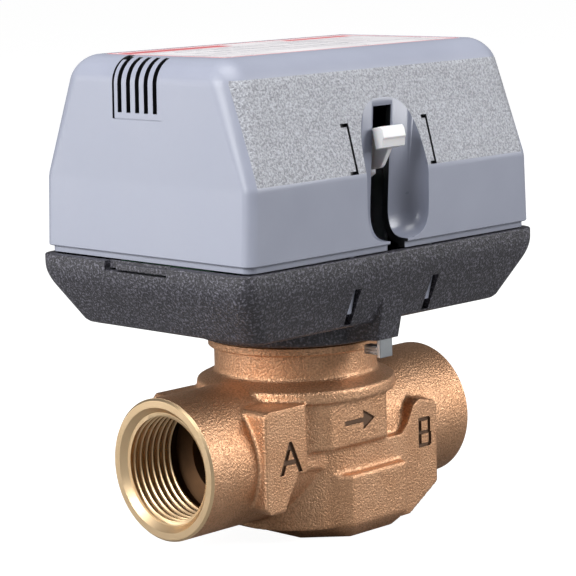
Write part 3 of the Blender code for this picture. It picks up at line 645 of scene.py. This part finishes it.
def tap(name, side):
    """A screw-shaped cutter along X, clipped to the depth of the thread."""
    turns, steps = 12, 56
    bm = bmesh.new()
    tooth = [(0.0, MINOR_R), (0.12, MINOR_R), (0.36, MINOR_R + 0.5), (0.62, MAJOR_R - 0.12),
             (0.72, MAJOR_R), (0.86, MAJOR_R), (0.96, MAJOR_R - 0.12), (1.2, MINOR_R + 0.5),
             (1.44, MINOR_R), (PITCH, MINOR_R)]
    start_x = -FACE_X - 2 * PITCH
    points = [bm.verts.new((start_x + x, 0, radius)) for x, radius in tooth]
    edges = [bm.edges.new(pair) for pair in zip(points, points[1:])]
    bmesh.ops.spin(bm, geom=points + edges, angle=2 * math.pi * turns, steps=steps * turns,
                   axis=(1, 0, 0), cent=(0, 0, 0), dvec=(PITCH / steps, 0, 0))
    bmesh.ops.remove_doubles(bm, verts=bm.verts, dist=0.001)
    for x, normal in ((-FACE_X + 0.5, -1), (-FACE_X + THREAD_DEPTH, 1)):
        bmesh.ops.bisect_plane(bm, geom=bm.verts[:] + bm.edges[:] + bm.faces[:],
                               plane_co=(x, 0, 0), plane_no=(normal, 0, 0), clear_outer=True)
        rim = [edge for edge in bm.edges if edge.is_boundary
               and all(abs(v.co.x - x) < 0.001 for v in edge.verts)]
        bmesh.ops.holes_fill(bm, edges=rim, sides=0)
    if side > 0:
        bmesh.ops.rotate(bm, verts=bm.verts, cent=(0, 0, 0),
                         matrix=Matrix.Rotation(math.pi, 3, "Z"))
    bmesh.ops.translate(bm, verts=bm.verts, vec=(0, 0, PORT_Z))
    return keep(bm, name, bronze_turned)


def port_tools(side):
    """Facing cut, outer and inner chamfers, tap and clearance of one port."""
    end = side * FACE_X
    lead_in = [(0, 2.0), (14.3, 2.0), (14.3, 0.0), (12.95, -1.3), (0, -1.3)]
    rim = [(17.6, 2.0), (17.6, -0.9), (16.3, -0.55), (15.85, 0.0), (12.0, 0.0), (12.0, 2.0)]
    relief_bore = [(0, -13.9), (13.3, -13.9), (13.3, -16.9), (9.5, -18.4), (9.5, -34.0),
                   (0, -34.0)]
    tools = [tap(f"tap_{side}", side)]
    for name, profile, closed, finish in (("lead_in", lead_in, False, bronze_turned),
                                          ("rim", rim, True, bronze_turned),
                                          ("bore", relief_bore, False, bore_painted_shade)):
        points = [(radius, side * height) for radius, height in profile]
        tools.append(spun(f"{name}_{side}", points, finish, (end, 0, PORT_Z), "X", 96, closed))
    return tools


# %% Cut ports, chamber and spigot
chamber = [(0, 60.0), (15.0, 60.0), (15.0, 9.0), (0, 9.0)]
spigot = [(26.0, 60.0), (26.0, 46.6), (17.5, 46.6), (17.1, 47.0), (17.1, 60.0)]
for side in (-1, 1):
    for tool in port_tools(side):
        cut(casting, tool, solver="MANIFOLD")
cut(casting, spun("chamber_bore", chamber, bronze_bored, steps=96), solver="MANIFOLD")
print("machined casting:", len(casting.data.polygons), "faces",
      [material.name for material in casting.data.materials])


# %% Spigot and bayonet lugs
def lug(name, inner, outer, middle, span_deg, low, high):
    """A block between two radii and two angles about the stem axis."""
    steps = 10
    angles = [math.radians(middle - span_deg / 2 + span_deg * i / steps) for i in range(steps + 1)]
    outline = [(outer * math.cos(a), outer * math.sin(a)) for a in angles]
    outline += [(inner * math.cos(a), inner * math.sin(a)) for a in reversed(angles)]
    return outlined(name, outline, "Z", low, high, bronze_bored)


cut(casting, spun("spigot_turning", spigot, bronze_bored, steps=96, closed=True),
    solver="MANIFOLD")
mouth = spun("spigot_tube", [(17.1, 46.0), (17.1, 54.2), (16.8, 54.5), (15.3, 54.5), (15.0, 54.2),
                             (15.0, 46.0)], bronze_bored, steps=96, closed=True)
join(mouth, *[lug(f"lug_{k}", 16.0, 19.6, 45 + 90 * k, 38.0, 51.3, 53.8) for k in range(4)])
join(casting, mouth, solver="MANIFOLD")
dress(casting, "valve", ["valve_body"], 40)

# %% [markdown]
# ## The brass collar
# A thin collar sits under the actuator and keeps it from dropping too far on the neck. It is
# a plain ring with broken edges, blasted together with the body.

# %% Collar
collar_low, collar_high = span("neck_collar")
collar_r, collar_bore = collar_high.x, 19.44
collar_top, collar_foot = collar_high.z, collar_low.z
collar = spun("collar_ring", [(collar_r, collar_top - 0.25), (collar_r - 0.25, collar_top),
                              (collar_bore + 0.2, collar_top), (collar_bore, collar_top - 0.2),
                              (collar_bore, collar_foot + 0.2), (collar_bore + 0.2, collar_foot),
                              (collar_r - 0.25, collar_foot), (collar_r, collar_foot + 0.25)],
              bronze_cast, steps=96, closed=True)
dress(collar, "valve", ["neck_collar"])

# %% [markdown]
# ## The housing base
# The base is a shallow tray. Its walls slope out to a soft knee and then rise as a plain
# band. A rounded rectangle grown upwards through a few sections gives that form, with a
# short curve of sections at the knee. The hub that holds the neck, the buttress over the
# release latch, the slots for the cover's tongues and the cable notch follow.

# %% Tray of the base
BASE_BOTTOM, BASE_KNEE, BASE_TOP = 52.1, 63.9, 68.5
BASE_X, BASE_Y, FLOOR_Z = 49.1, 33.75, 55.0
FOOT_X, FOOT_Y = 41.5, 28.6


def knee_sections(inset, steps=7):
    """Sections of the base's outside, drawn in by inset, with a curve at the knee."""
    corner = ((BASE_X, BASE_Y), BASE_KNEE)
    slope = (BASE_KNEE - BASE_BOTTOM)
    low_z, high_z = BASE_KNEE - 2.9, BASE_KNEE + 2.5
    share = (low_z - BASE_BOTTOM) / slope
    low_xy = (FOOT_X + (BASE_X - FOOT_X) * share, FOOT_Y + (BASE_Y - FOOT_Y) * share)
    sections = []
    for step in range(steps + 1):
        t = step / steps
        a, b, c = (1 - t) ** 2, 2 * t * (1 - t), t * t
        x = a * low_xy[0] + b * corner[0][0] + c * BASE_X
        y = a * low_xy[1] + b * corner[0][1] + c * BASE_Y
        sections.append((x - inset, y - inset, a * low_z + b * corner[1] + c * high_z))
    return sections


outside = [(FOOT_X - 0.9, FOOT_Y - 0.9, BASE_BOTTOM),
           (FOOT_X - 0.25, FOOT_Y - 0.3, BASE_BOTTOM + 0.2),
           (FOOT_X + 0.45, FOOT_Y + 0.35, BASE_BOTTOM + 0.8)]
outside += knee_sections(0.0) + [(BASE_X, BASE_Y, BASE_TOP - 0.35),
                                 (BASE_X - 0.1, BASE_Y - 0.1, BASE_TOP - 0.1),
                                 (BASE_X - 0.35, BASE_Y - 0.35, BASE_TOP)]
inside = [(40.4, 26.9, FLOOR_Z), (41.2, 27.7, FLOOR_Z + 0.8)] + knee_sections(2.4)
inside += [(BASE_X - 2.4, BASE_Y - 2.4, BASE_TOP + 1)]
tray = stack("base_tray", outside, 4.2, base_nylon, 10)
cut(tray, stack("tray_hollow", inside, 2.4, base_nylon, 8))
print("tray:", len(tray.data.polygons), "faces")

# %% Hub, buttress, posts and ribs
hub_outside = spun("hub", [(0, 46.8), (22.3, 46.8), (23.1, 47.1), (23.5, 47.9), (23.5, 54.6),
                           (0, 54.6)], base_nylon, steps=96)


def buttress():
    """A wedge under the front wall that flares back into the hub."""
    bm = bmesh.new()
    low = [(-3.3, -29.6), (3.4, -29.6), (7.2, -20.8), (-7.2, -20.8)]
    high = [(-3.4, -32.4), (4.7, -32.4), (8.4, -20.8), (-8.4, -20.8)]
    face = bm.faces.new([bm.verts.new((x, y, 48.0)) for x, y in low])
    for vert in grow(bm, [face], True)[0]:
        x, y = high[low.index((round(vert.co.x, 3), round(vert.co.y, 3)))]
        vert.co = (x, y, 65.0)
    bmesh.ops.recalc_face_normals(bm, faces=bm.faces)
    corners = [edge for edge in bm.edges
               if max(v.co.y for v in edge.verts) < -28 and min(v.co.z for v in edge.verts) < 50]
    bmesh.ops.bevel(bm, geom=corners, offset=0.45, affect="EDGES", segments=3, profile=0.5,
                    material=-1)
    return keep(bm, "buttress", base_nylon)


wedge = buttress()
cut(wedge, stack("wedge_hollow", inside, 2.4, base_nylon, 8))
bosses = [rod(f"board_post_{x:.0f}_{y:.0f}", 2.4, 54.0, 59.7, base_nylon, (x, y), steps=24,
              soft=0.3) for x in (-38.0, -17.0) for y in (-19.0, 19.0)]
ribs = [block(f"rib_{x:.0f}", (x - 0.6, -29.6, 54.5), (x + 0.6, -24.0, 60.0), base_nylon)
        for x in (-30.0, 30.0)]
ribs += [block(f"rib_back_{x:.0f}", (x - 0.6, 24.5, 54.5), (x + 0.6, 29.6, 60.0), base_nylon)
         for x in (-30.0, 0.0, 30.0)]
join(tray, hub_outside, wedge, *bosses, *ribs)

# %% Bores, pockets, slots and the cable notch
cut(tray, rod("hub_bore", 17.4, 40, 60, base_nylon, steps=96),
    rod("hub_low", 19.9, 40, 48.3, base_nylon, steps=96),
    rod("hub_high", 19.9, 51.0, 60, base_nylon, steps=96))
for k in range(4):
    cut(tray, lug(f"hub_way_{k}", 16.5, 19.9, 90 * k, 52.0, 47.5, 51.5))
pockets = [block("latch_pocket", (-2.6, -29.2, 47.0), (2.6, -24.4, 51.0), base_nylon),
           block("cable_notch", (-51, -9.4, 66.4), (-45, 10.7, 70), base_nylon)]
for side in (-1, 1):
    middle = side * 13.1
    pockets += [block(f"tongue_way_{side}", (middle - 1.2, -32.15, 53.0),
                      (middle + 1.2, -27.6, 70), base_nylon),
                block(f"tongue_mouth_{side}", (middle - 1.2, -36, 53.0),
                      (middle + 1.2, -29.2, 61.4), base_nylon)]
pockets += [rod(f"screw_hole_{x:.0f}_{y:.0f}", 1.5, 53.4, 60, base_nylon, (x, y), steps=20)
            for x in (-25.0, 25.0) for y in (-8.0, 8.0)]
cut(tray, *pockets)
soften(tray, 0.22, 40)
tray.data.materials.clear()
tray.data.materials.append(base_nylon)
dress(tray, "actuator", ["base"], 30)

# %% [markdown]
# ## The insert in the cable notch
# A small strip of the same nylon closes the notch where a cable would come in. It sits a
# little behind the wall and leaves a square hole at one end.

# %% Cable insert
entry_low, entry_high = span("cable_entry_insert")
insert = block("entry_strip", entry_low, entry_high, base_nylon, 0.2)
join(insert, block("entry_back", (entry_high.x - 0.6, entry_low.y, entry_low.z + 0.1),
                   (entry_high.x, 10.4, 68.65), base_nylon, 0.1))
dress(insert, "actuator", ["cable_entry_insert"])

# %% [markdown]
# ## The cover
# The cover is a deep ABS cap with steep ends, front and back faces that lean in above a
# knee, and a six-millimetre radius round its top. It is grown through sections as the base
# is. The leaning faces carry a framed panel of coarse grain, so three cuts leave edges where
# the panel stops, and those faces take the grained finish.

# %% Sections of the cover
COVER_BOTTOM, COVER_KNEE, COVER_TOP, COVER_ROUND = 70.2, 86.3, 113.7, 6.0
GRAIN_X, GRAIN_TOP = 44.2, 109.2


def cover_half_sizes(z):
    """Half sizes of the cover's outside at a height."""
    if z <= COVER_KNEE:
        t = (z - COVER_BOTTOM) / (COVER_KNEE - COVER_BOTTOM)
        return 47.3 - 0.83 * t, 33.35 + 0.1 * t
    t = (z - COVER_KNEE) / (COVER_TOP - COVER_KNEE)
    return 46.47 - 0.57 * t, 33.45 - 7.43 * t


def cover_radius(z):
    """The upright corners are tight at the bottom and open out towards the top."""
    share = max(0.0, min(1.0, (z - COVER_KNEE) / (COVER_TOP - COVER_ROUND - COVER_KNEE)))
    return 2.8 + 3.6 * share


def cover_sections(inset):
    """Sections of the outside, drawn in by inset; with no inset the lip comes first."""
    sections = [] if inset else [(46.3, 32.35, 68.8, 2.2), (46.3, 32.35, COVER_BOTTOM, 2.2)]
    for z in (COVER_BOTTOM, COVER_BOTTOM + 0.25, COVER_KNEE - 0.6, COVER_KNEE + 0.6, 93.0, 100.0):
        half_x, half_y = cover_half_sizes(z)
        nip = inset + (0.25 if z == COVER_BOTTOM else 0.0)
        sections.append((half_x - nip, half_y - nip, z, max(0.3, cover_radius(z) - nip)))
    top_steps = 10
    for step in range(top_steps + 1):
        angle = math.radians(90 * step / top_steps)
        z = COVER_TOP - COVER_ROUND * (1 - math.sin(angle))
        half_x, half_y = cover_half_sizes(z)
        draw = inset + COVER_ROUND * (1 - math.cos(angle))
        radius = max(0.3, cover_radius(z) - 0.98 * draw)
        sections.append((half_x - draw, half_y - draw, z - inset * math.sin(angle), radius))
    return sections


shell = stack("cover_shell", cover_sections(0.0), 2.2, cover_abs, 10)
shell.data.materials.append(cover_grained)
bm = bmesh.new()
bm.from_mesh(shell.data)
for place, normal in (((-GRAIN_X, 0, 0), (1, 0, 0)), ((GRAIN_X, 0, 0), (1, 0, 0)),
                      ((0, 0, GRAIN_TOP), (0, 0, 1))):
    bmesh.ops.bisect_plane(bm, geom=bm.verts[:] + bm.edges[:] + bm.faces[:],
                           plane_co=Vector(place) * MM, plane_no=normal)
for face in bm.faces:
    middle = face.calc_center_median() / MM
    if (abs(middle.x) < GRAIN_X and abs(face.normal.y) > 0.6
            and COVER_KNEE < middle.z < GRAIN_TOP):
        face.material_index = 1
bm.to_mesh(shell.data)
bm.free()
print("cover:", len(shell.data.polygons), "faces before its openings")

# %% [markdown]
# ## The finger scoop and the lever slot
# A scoop in the front lets a finger reach the lever. Its outline is fuller than an ellipse,
# so the tool starts from a circle whose points are pushed out to a rounder form. The tool is
# drawn down into half an egg. A bigger copy of it is left standing inside, as the wall that
# backs the scoop.

# %% Scoop and hollow
FRONT_Y, SCOOP_X, SCOOP_DEPTH, SCOOP_Z, SCOOP_LOW = 33.45, 10.3, 6.2, 80.8, 9.9
FULLNESS, LOW_FULLNESS = 2.8, 3.6
# The tool leans back by this much per millimetre of height, as the face above the knee does.
LEAN, LEAN_FROM = 1.75 / 26.9, 76.0


def scoop_tool(name, extra, finish):
    """The scoop, or its backing when extra is the wall's thickness."""
    bm = bmesh.new()
    bmesh.ops.create_circle(bm, cap_ends=True, segments=72, radius=1)
    for vert in bm.verts:
        x, y = vert.co.x, vert.co.y
        swell = (abs(x) ** FULLNESS + abs(y) ** FULLNESS) ** (-1 / FULLNESS)
        vert.co = (x * swell * (SCOOP_X + extra), y * swell * (SCOOP_DEPTH + extra), 0)
    bmesh.ops.translate(bm, verts=bm.verts, vec=(0, 0, 108))
    last, z = bm.faces[:], 108.0
    size = 1.0
    for step in range(17):
        angle = math.radians(90 * step / 17)
        next_size = math.cos(angle) ** (2 / LOW_FULLNESS)
        next_z = SCOOP_Z - (SCOOP_LOW + extra) * math.sin(angle) ** (2 / LOW_FULLNESS)
        ring, last = grow(bm, last, step == 0)
        bmesh.ops.scale(bm, verts=ring, vec=(next_size / size, next_size / size, 1))
        bmesh.ops.translate(bm, verts=ring, vec=(0, 0, next_z - z))
        size, z = next_size, next_z
    for vert in bm.verts:
        vert.co.y -= FRONT_Y + LEAN * max(0.0, vert.co.z - LEAN_FROM)
    return keep(bm, name, finish)


BACKING_WALL = 1.5
hollow = [(44.2, 30.25, 68.0), (44.2, 30.25, 70.5), (45.2, 31.25, 72.5),
          (44.4, 31.35, COVER_KNEE), (43.8, 25.8, 107.4), (42.8, 24.7, 109.6),
          (41.3, 23.1, 111.0), (39.4, 20.9, 111.6)]
inner = stack("cover_hollow", hollow, 2.4, cover_abs, 8)
cut(inner, scoop_tool("scoop_backing", BACKING_WALL, cover_abs))
# The scoop's faces take the darker ABS: painted shade for the hollow.
cut(shell, inner, scoop_tool("scoop", 0.0, scoop_abs_painted_shade))
print("hollow cover:", len(shell.data.polygons), "faces")

# %% [markdown]
# ## Slot, vents, label seat and moulded lines
# The lever slot runs down through the lip, so that the cover can be lifted off over the
# lever. Five vents bend over the top edge at the end. Shallow lines are cut to an even depth
# by taking a block and removing a smaller copy of the cover from it first.

# %% Openings
SLOT_X, SLOT_TOP = 2.95, 100.9
# The slot tool leaves black on the slot's walls: painted shade for the inside of the narrow slot.
cut(shell, block("lever_slot", (-SLOT_X, -40, 60), (SLOT_X, -22, SLOT_TOP), black_pbt_and_painted_shade),
    block("label_seat", (-40, -20.2, COVER_TOP - 0.8), (40, 20.2, COVER_TOP + 1), cover_abs))
VENTS, VENT_Y, VENT_PITCH, VENT_HALF = 5, 7.0, 2.85, 0.65
# The vent tools leave black on the vents' walls: painted shade inside the vents.
cut(shell, *[block(f"vent_{k}", (-51, VENT_Y - VENT_PITCH * k - VENT_HALF, 101.5),
                   (-41.7, VENT_Y - VENT_PITCH * k + VENT_HALF, 115), black_pbt_and_painted_shade)
             for k in range(VENTS)])


# %% Lines of even depth
def skin_lines(name, boxes, depth, finish=cover_abs):
    """Blocks with the inside of the cover taken away, so that they only score its skin."""
    tool = block(name, *boxes[0], finish)
    if boxes[1:]:
        join(tool, *[block(f"{name}_{k}", low, high, finish)
                     for k, (low, high) in enumerate(boxes[1:])])
    return cut(tool, stack(name + "_core", cover_sections(depth), 2.8 - depth, finish, 10))


LINE_HALF = 0.32
brackets = []
for x, reach in ((-13.07, -2.2), (13.07, -1.6)):
    low_x, high_x = sorted((x, x + reach))
    brackets += [((x - LINE_HALF, -40, 86.9), (x + LINE_HALF, -20, 98.0)),
                 ((low_x, -40, 97.2), (high_x, -20, 98.0)),
                 ((low_x, -40, 86.9), (high_x, -20, 87.6))]
# The bracket lines and the line beside the vents take black on their walls: painted shade in their
# deep gaps.
cut(shell, skin_lines("clip_line_left", brackets[:3], 1.2, black_pbt_and_painted_shade),
    skin_lines("clip_line_right", brackets[3:], 1.2, black_pbt_and_painted_shade),
    skin_lines("vent_side_line", [((-51, 8.75, 100.1), (-40.4, 9.4, 116)),
                                  ((-43.0, 7.3, 110), (-40.4, 9.4, 116))], 1.1, black_pbt_and_painted_shade),
    skin_lines("vent_sill_line", [((-51, -6.4, 99.95), (-40, 8.8, 100.2))], 0.25))
print("cover with openings:", len(shell.data.polygons), "faces")

# %% [markdown]
# A dark sheet stands inside, behind the vents: painted shade, so that they look dark inside.

# %% Dark sheet behind the vents, as painted shade
painted_shade_sheet = block("vent_painted_shade_sheet", (-43.6, -6.6, 100.6), (-43.2, 9.6, 110.6), black_pbt_and_painted_shade, 0.1)
dress(painted_shade_sheet, "lid")

# %% Tongues and inner ribs
tongue = [(-29.6, 55.5), (-28.4, 55.5), (-28.4, 71.5), (-30.9, 71.5), (-31.2, 61.5)]
inner_ribs = [block(f"cover_rib_{x:.0f}", (x - 0.6, -23.4, 106.0), (x + 0.6, 23.4, 112.0),
                    cover_abs) for x in (-27.0, 27.0)]
join(shell, *[outlined(f"tongue_{side}", tongue, "X", side * 13.1 - 0.8, side * 13.1 + 0.8,
                       cover_abs) for side in (-1, 1)], *inner_ribs)
soften(shell, 0.16, 40)
dress(shell, "lid", ["cover"], 30)
print([material.name for material in shell.data.materials])

# %% [markdown]
# ## The label
# A white film label nearly fills the seat in the top. Its printing is only ruled frames and
# a plain connection scheme, made here as very thin strips, so that nothing is spelled out.

# %% Label film and its ruled lines
# Polyester film, white, with a clear coat: bright and smooth, with a faint ripple.
label_film = moulded("white_label_film", "F1ECF0", "F8F5F7", 0.3, 2.5, 0.01, 1.5, 12.0,
                     Coat_Weight=0.3, Coat_Roughness=0.15)
# Screen-printed inks: flat and slightly uneven.
red_ink = moulded("red_screen_ink", "C25A60", "CC666B", 0.4, 0.4, 0.004, 1.5, 5.0)
grey_ink = moulded("grey_screen_ink", "7E8187", "8A8D93", 0.4, 0.4, 0.004, 1.5, 5.0)

label_low, label_high = span("cover_label")


def strip(name, low, high, finish):
    """A printed line, a few hundredths of a millimetre proud of the label."""
    z = label_high.z
    return block(name, (*low, z - 0.02), (*high, z + 0.03), finish)


def frame_of_lines(name, half_x, half_y, width, finish):
    """Four strips round a rectangle, joined."""
    item = strip(name, (-half_x, -half_y), (half_x, -half_y + width), finish)
    return join(item, strip(name + "_b", (-half_x, half_y - width), (half_x, half_y), finish),
                strip(name + "_c", (-half_x, -half_y), (-half_x + width, half_y), finish),
                strip(name + "_d", (half_x - width, -half_y), (half_x, half_y), finish))


film = stack("label_film_piece", [(label_high.x, label_high.y, label_low.z),
                                  (label_high.x, label_high.y, label_high.z - 0.08),
                                  (label_high.x - 0.08, label_high.y - 0.08, label_high.z)],
             2.0, label_film)
dress(film, "lid", ["cover_label"])
rules = frame_of_lines("label_red_frame", 38.8, 19.0, 0.45, red_ink)
join(rules, strip("band", (-37.5, 12.0), (-6.0, 16.6), red_ink),
     strip("band_short", (14.0, 13.0), (36.0, 16.0), red_ink))
dress(rules, "lid")
scheme = frame_of_lines("label_scheme", 36.0, 9.6, 0.2, grey_ink)
join(scheme, *[strip(f"scheme_{k}", (x, -6.0), (x + 0.25, 6.0), grey_ink)
               for k, x in enumerate((-30, -24, -18, -12, 6, 14))],
     *[strip(f"scheme_row_{k}", (-30, y), (14.2, y + 0.25), grey_ink)
       for k, y in enumerate((-6.2, 0.0, 6.0))])
dress(scheme, "lid")

# %% [markdown]
# ## The manual lever
# The lever is one acetal moulding: a toothed sector on a hub, a thin arm and a knob that a
# finger pushes. Its teeth have to match the rack, so they come from the CAD node: a copy is
# merged, its blocky front is cut off, and a rounded knob with a crease takes its place.

# %% A fine copy of a CAD node
def fine_copy(node, name, finish):
    """A CAD node as a new piece: loose triangles merged, flat areas made whole."""
    bm = bmesh.new()
    bm.from_mesh(frame["nodes"][node].data)
    bmesh.ops.remove_doubles(bm, verts=bm.verts, dist=0.002 * MM)
    bmesh.ops.dissolve_limit(bm, angle_limit=math.radians(1), verts=bm.verts, edges=bm.edges)
    bmesh.ops.scale(bm, verts=bm.verts, vec=(1 / MM, 1 / MM, 1 / MM))
    return keep(bm, name, finish)


# %% Lever, arm and knob
LEVER_Y, LEVER_Z = -13.5, 83.8
KNOB_Y, KNOB_Z, KNOB_TIP = -17.7, 10.2, math.radians(13)
ARM = [(-2, 4.2), (-15.5, 12.3), (-17.2, 11.6), (-18.0, 10.6), (-17.9, 8.2), (-17.4, 7.0),
       (-15.5, 3.6), (-14.7, 3.0), (-12.5, 2.6), (-3, -4.2), (1, 0)]
KNOB = [(-1.5, 2.4), (1.15, 2.4), (1.55, 1.6), (1.6, -0.35), (1.25, -0.6), (0.75, -2.4),
        (-1.5, -2.4)]
knob_points = [(LEVER_Y + KNOB_Y - a * math.cos(KNOB_TIP) + b * math.sin(KNOB_TIP),
                LEVER_Z + KNOB_Z + a * math.sin(KNOB_TIP) + b * math.cos(KNOB_TIP))
               for a, b in KNOB]
arm_points = [(LEVER_Y + a, LEVER_Z + b) for a, b in ARM]
lever = fine_copy("manual_lever", "lever_moulding", white_acetal)
cut(lever, block("knob_off", (-6, -40, 78), (6, -26.0, 104), white_acetal))
join(lever, outlined("arm", arm_points, "X", -0.7, 0.7, white_acetal, 0.22),
     outlined("knob", knob_points, "X", -3.9, 3.6, white_acetal, 0.55))
dress(lever, "lever", ["manual_lever"], 50)

# %% [markdown]
# ## The release latch
# Under the buttress a small zinc-plated tongue sticks out. Pressing it frees the bayonet. It
# is a stamped head on a ribbed shank.

# %% Latch
latch_low, latch_high = span("release_latch")
latch = block("latch_head", (-2.1, latch_low.y, 43.7), (2.1, latch_low.y + 1.15, 48.2),
              steel_zinc, 0.25, 3)
shank = [block("latch_bar", (-1.3, latch_low.y + 0.8, 44.1), (1.3, latch_high.y, 46.2),
               steel_zinc, 0.15)]
shank += [block(f"latch_rib_{k}", (-1.5, latch_low.y + 1.0, z),
                (1.5, latch_high.y - 0.8, z + 0.35), steel_zinc, 0.08)
          for k, z in enumerate((44.25, 44.95, 45.65))]
join(latch, block("latch_stem", (-1.6, latch_low.y + 0.2, 46.0), (1.6, latch_low.y + 1.1, 50.0),
                  steel_zinc, 0.1), *shank)
dress(latch, "latch", ["release_latch"])

# %% [markdown]
# ## The drive and the wiring
# The gear plates, shafts, gears, motor and switch show when the cover is lifted. Their CAD
# shapes are right, so each one is a fine copy with its edges rounded as stamping, turning or
# moulding leaves them, and with its own finish.

# %% Fine copies of the inner parts
# Epoxy-glass board under green solder mask: glossy, deep green.
solder_mask = moulded("green_solder_mask", "1F5A35", "27683F", 0.25, 0.8, 0.006, 1.55, 4.0)
INNER = {
    "cartridge_cage": (brass_turned, 0.15), "bonnet": (brass_turned, 0.2),
    "gland_nut": (brass_turned, 0.2), "piston_plug": (brass_turned, 0.15),
    "valve_stem": (stainless, 0.25), "stem_nut": (stainless, 0.2),
    "gear_plate_left": (steel_zinc, 0.12), "gear_plate_right": (steel_zinc, 0.12),
    **{f"{stem}_{k}": (steel_zinc, 0.2) for stem in ("plate_post", "frame_screw")
       for k in range(1, 5)},
    "lever_shaft": (steel_zinc, 0.2), "output_pin": (steel_zinc, 0.15),
    "second_pin": (steel_zinc, 0.15), "motor_flange": (steel_can, 0.1),
    "motor_can": (steel_can, 0.5), "motor_connector": (black_pbt_and_painted_shade, 0.3),
    "circuit_board": (solder_mask, 0.1), "terminal_block": (green_nylon, 0.2),
    "suppressor_capacitor": (black_pbt_and_painted_shade, 0.6), "limit_switch": (black_pbt_and_painted_shade, 0.25),
    "rack_yoke": (steel_zinc, 0.08), "output_gear": (white_acetal, 0.06),
    "second_gear": (white_acetal, 0.05), "motor_pinion": (brass_turned, 0.05),
    "switch_plunger": (red_abs, 0.15),
}
for node_name, (finish, width) in INNER.items():
    piece = fine_copy(node_name, node_name + "_finished", finish)
    soften(piece, width, 30)
    piece.data.materials.clear()
    piece.data.materials.append(finish)
    dress(piece, body_of[node_name], [node_name])

# %% Screws, rings and wires keep their CAD mesh
KEPT = {"cage_oring_lower": nitrile, "cage_oring_upper": nitrile, "bonnet_oring": nitrile,
        "plug_oring_lower": nitrile, "plug_oring_upper": nitrile,
        "motor_lead_brown": brown_pvc, "motor_lead_blue": blue_pvc}
KEPT.update({f"terminal_screw_{k}": steel_zinc for k in range(1, 6)})
for node_name, finish in KEPT.items():
    node = frame["nodes"][node_name]
    node.data.materials.clear()
    node.data.materials.append(finish)
print("inner parts finished:", len(INNER) + len(KEPT))
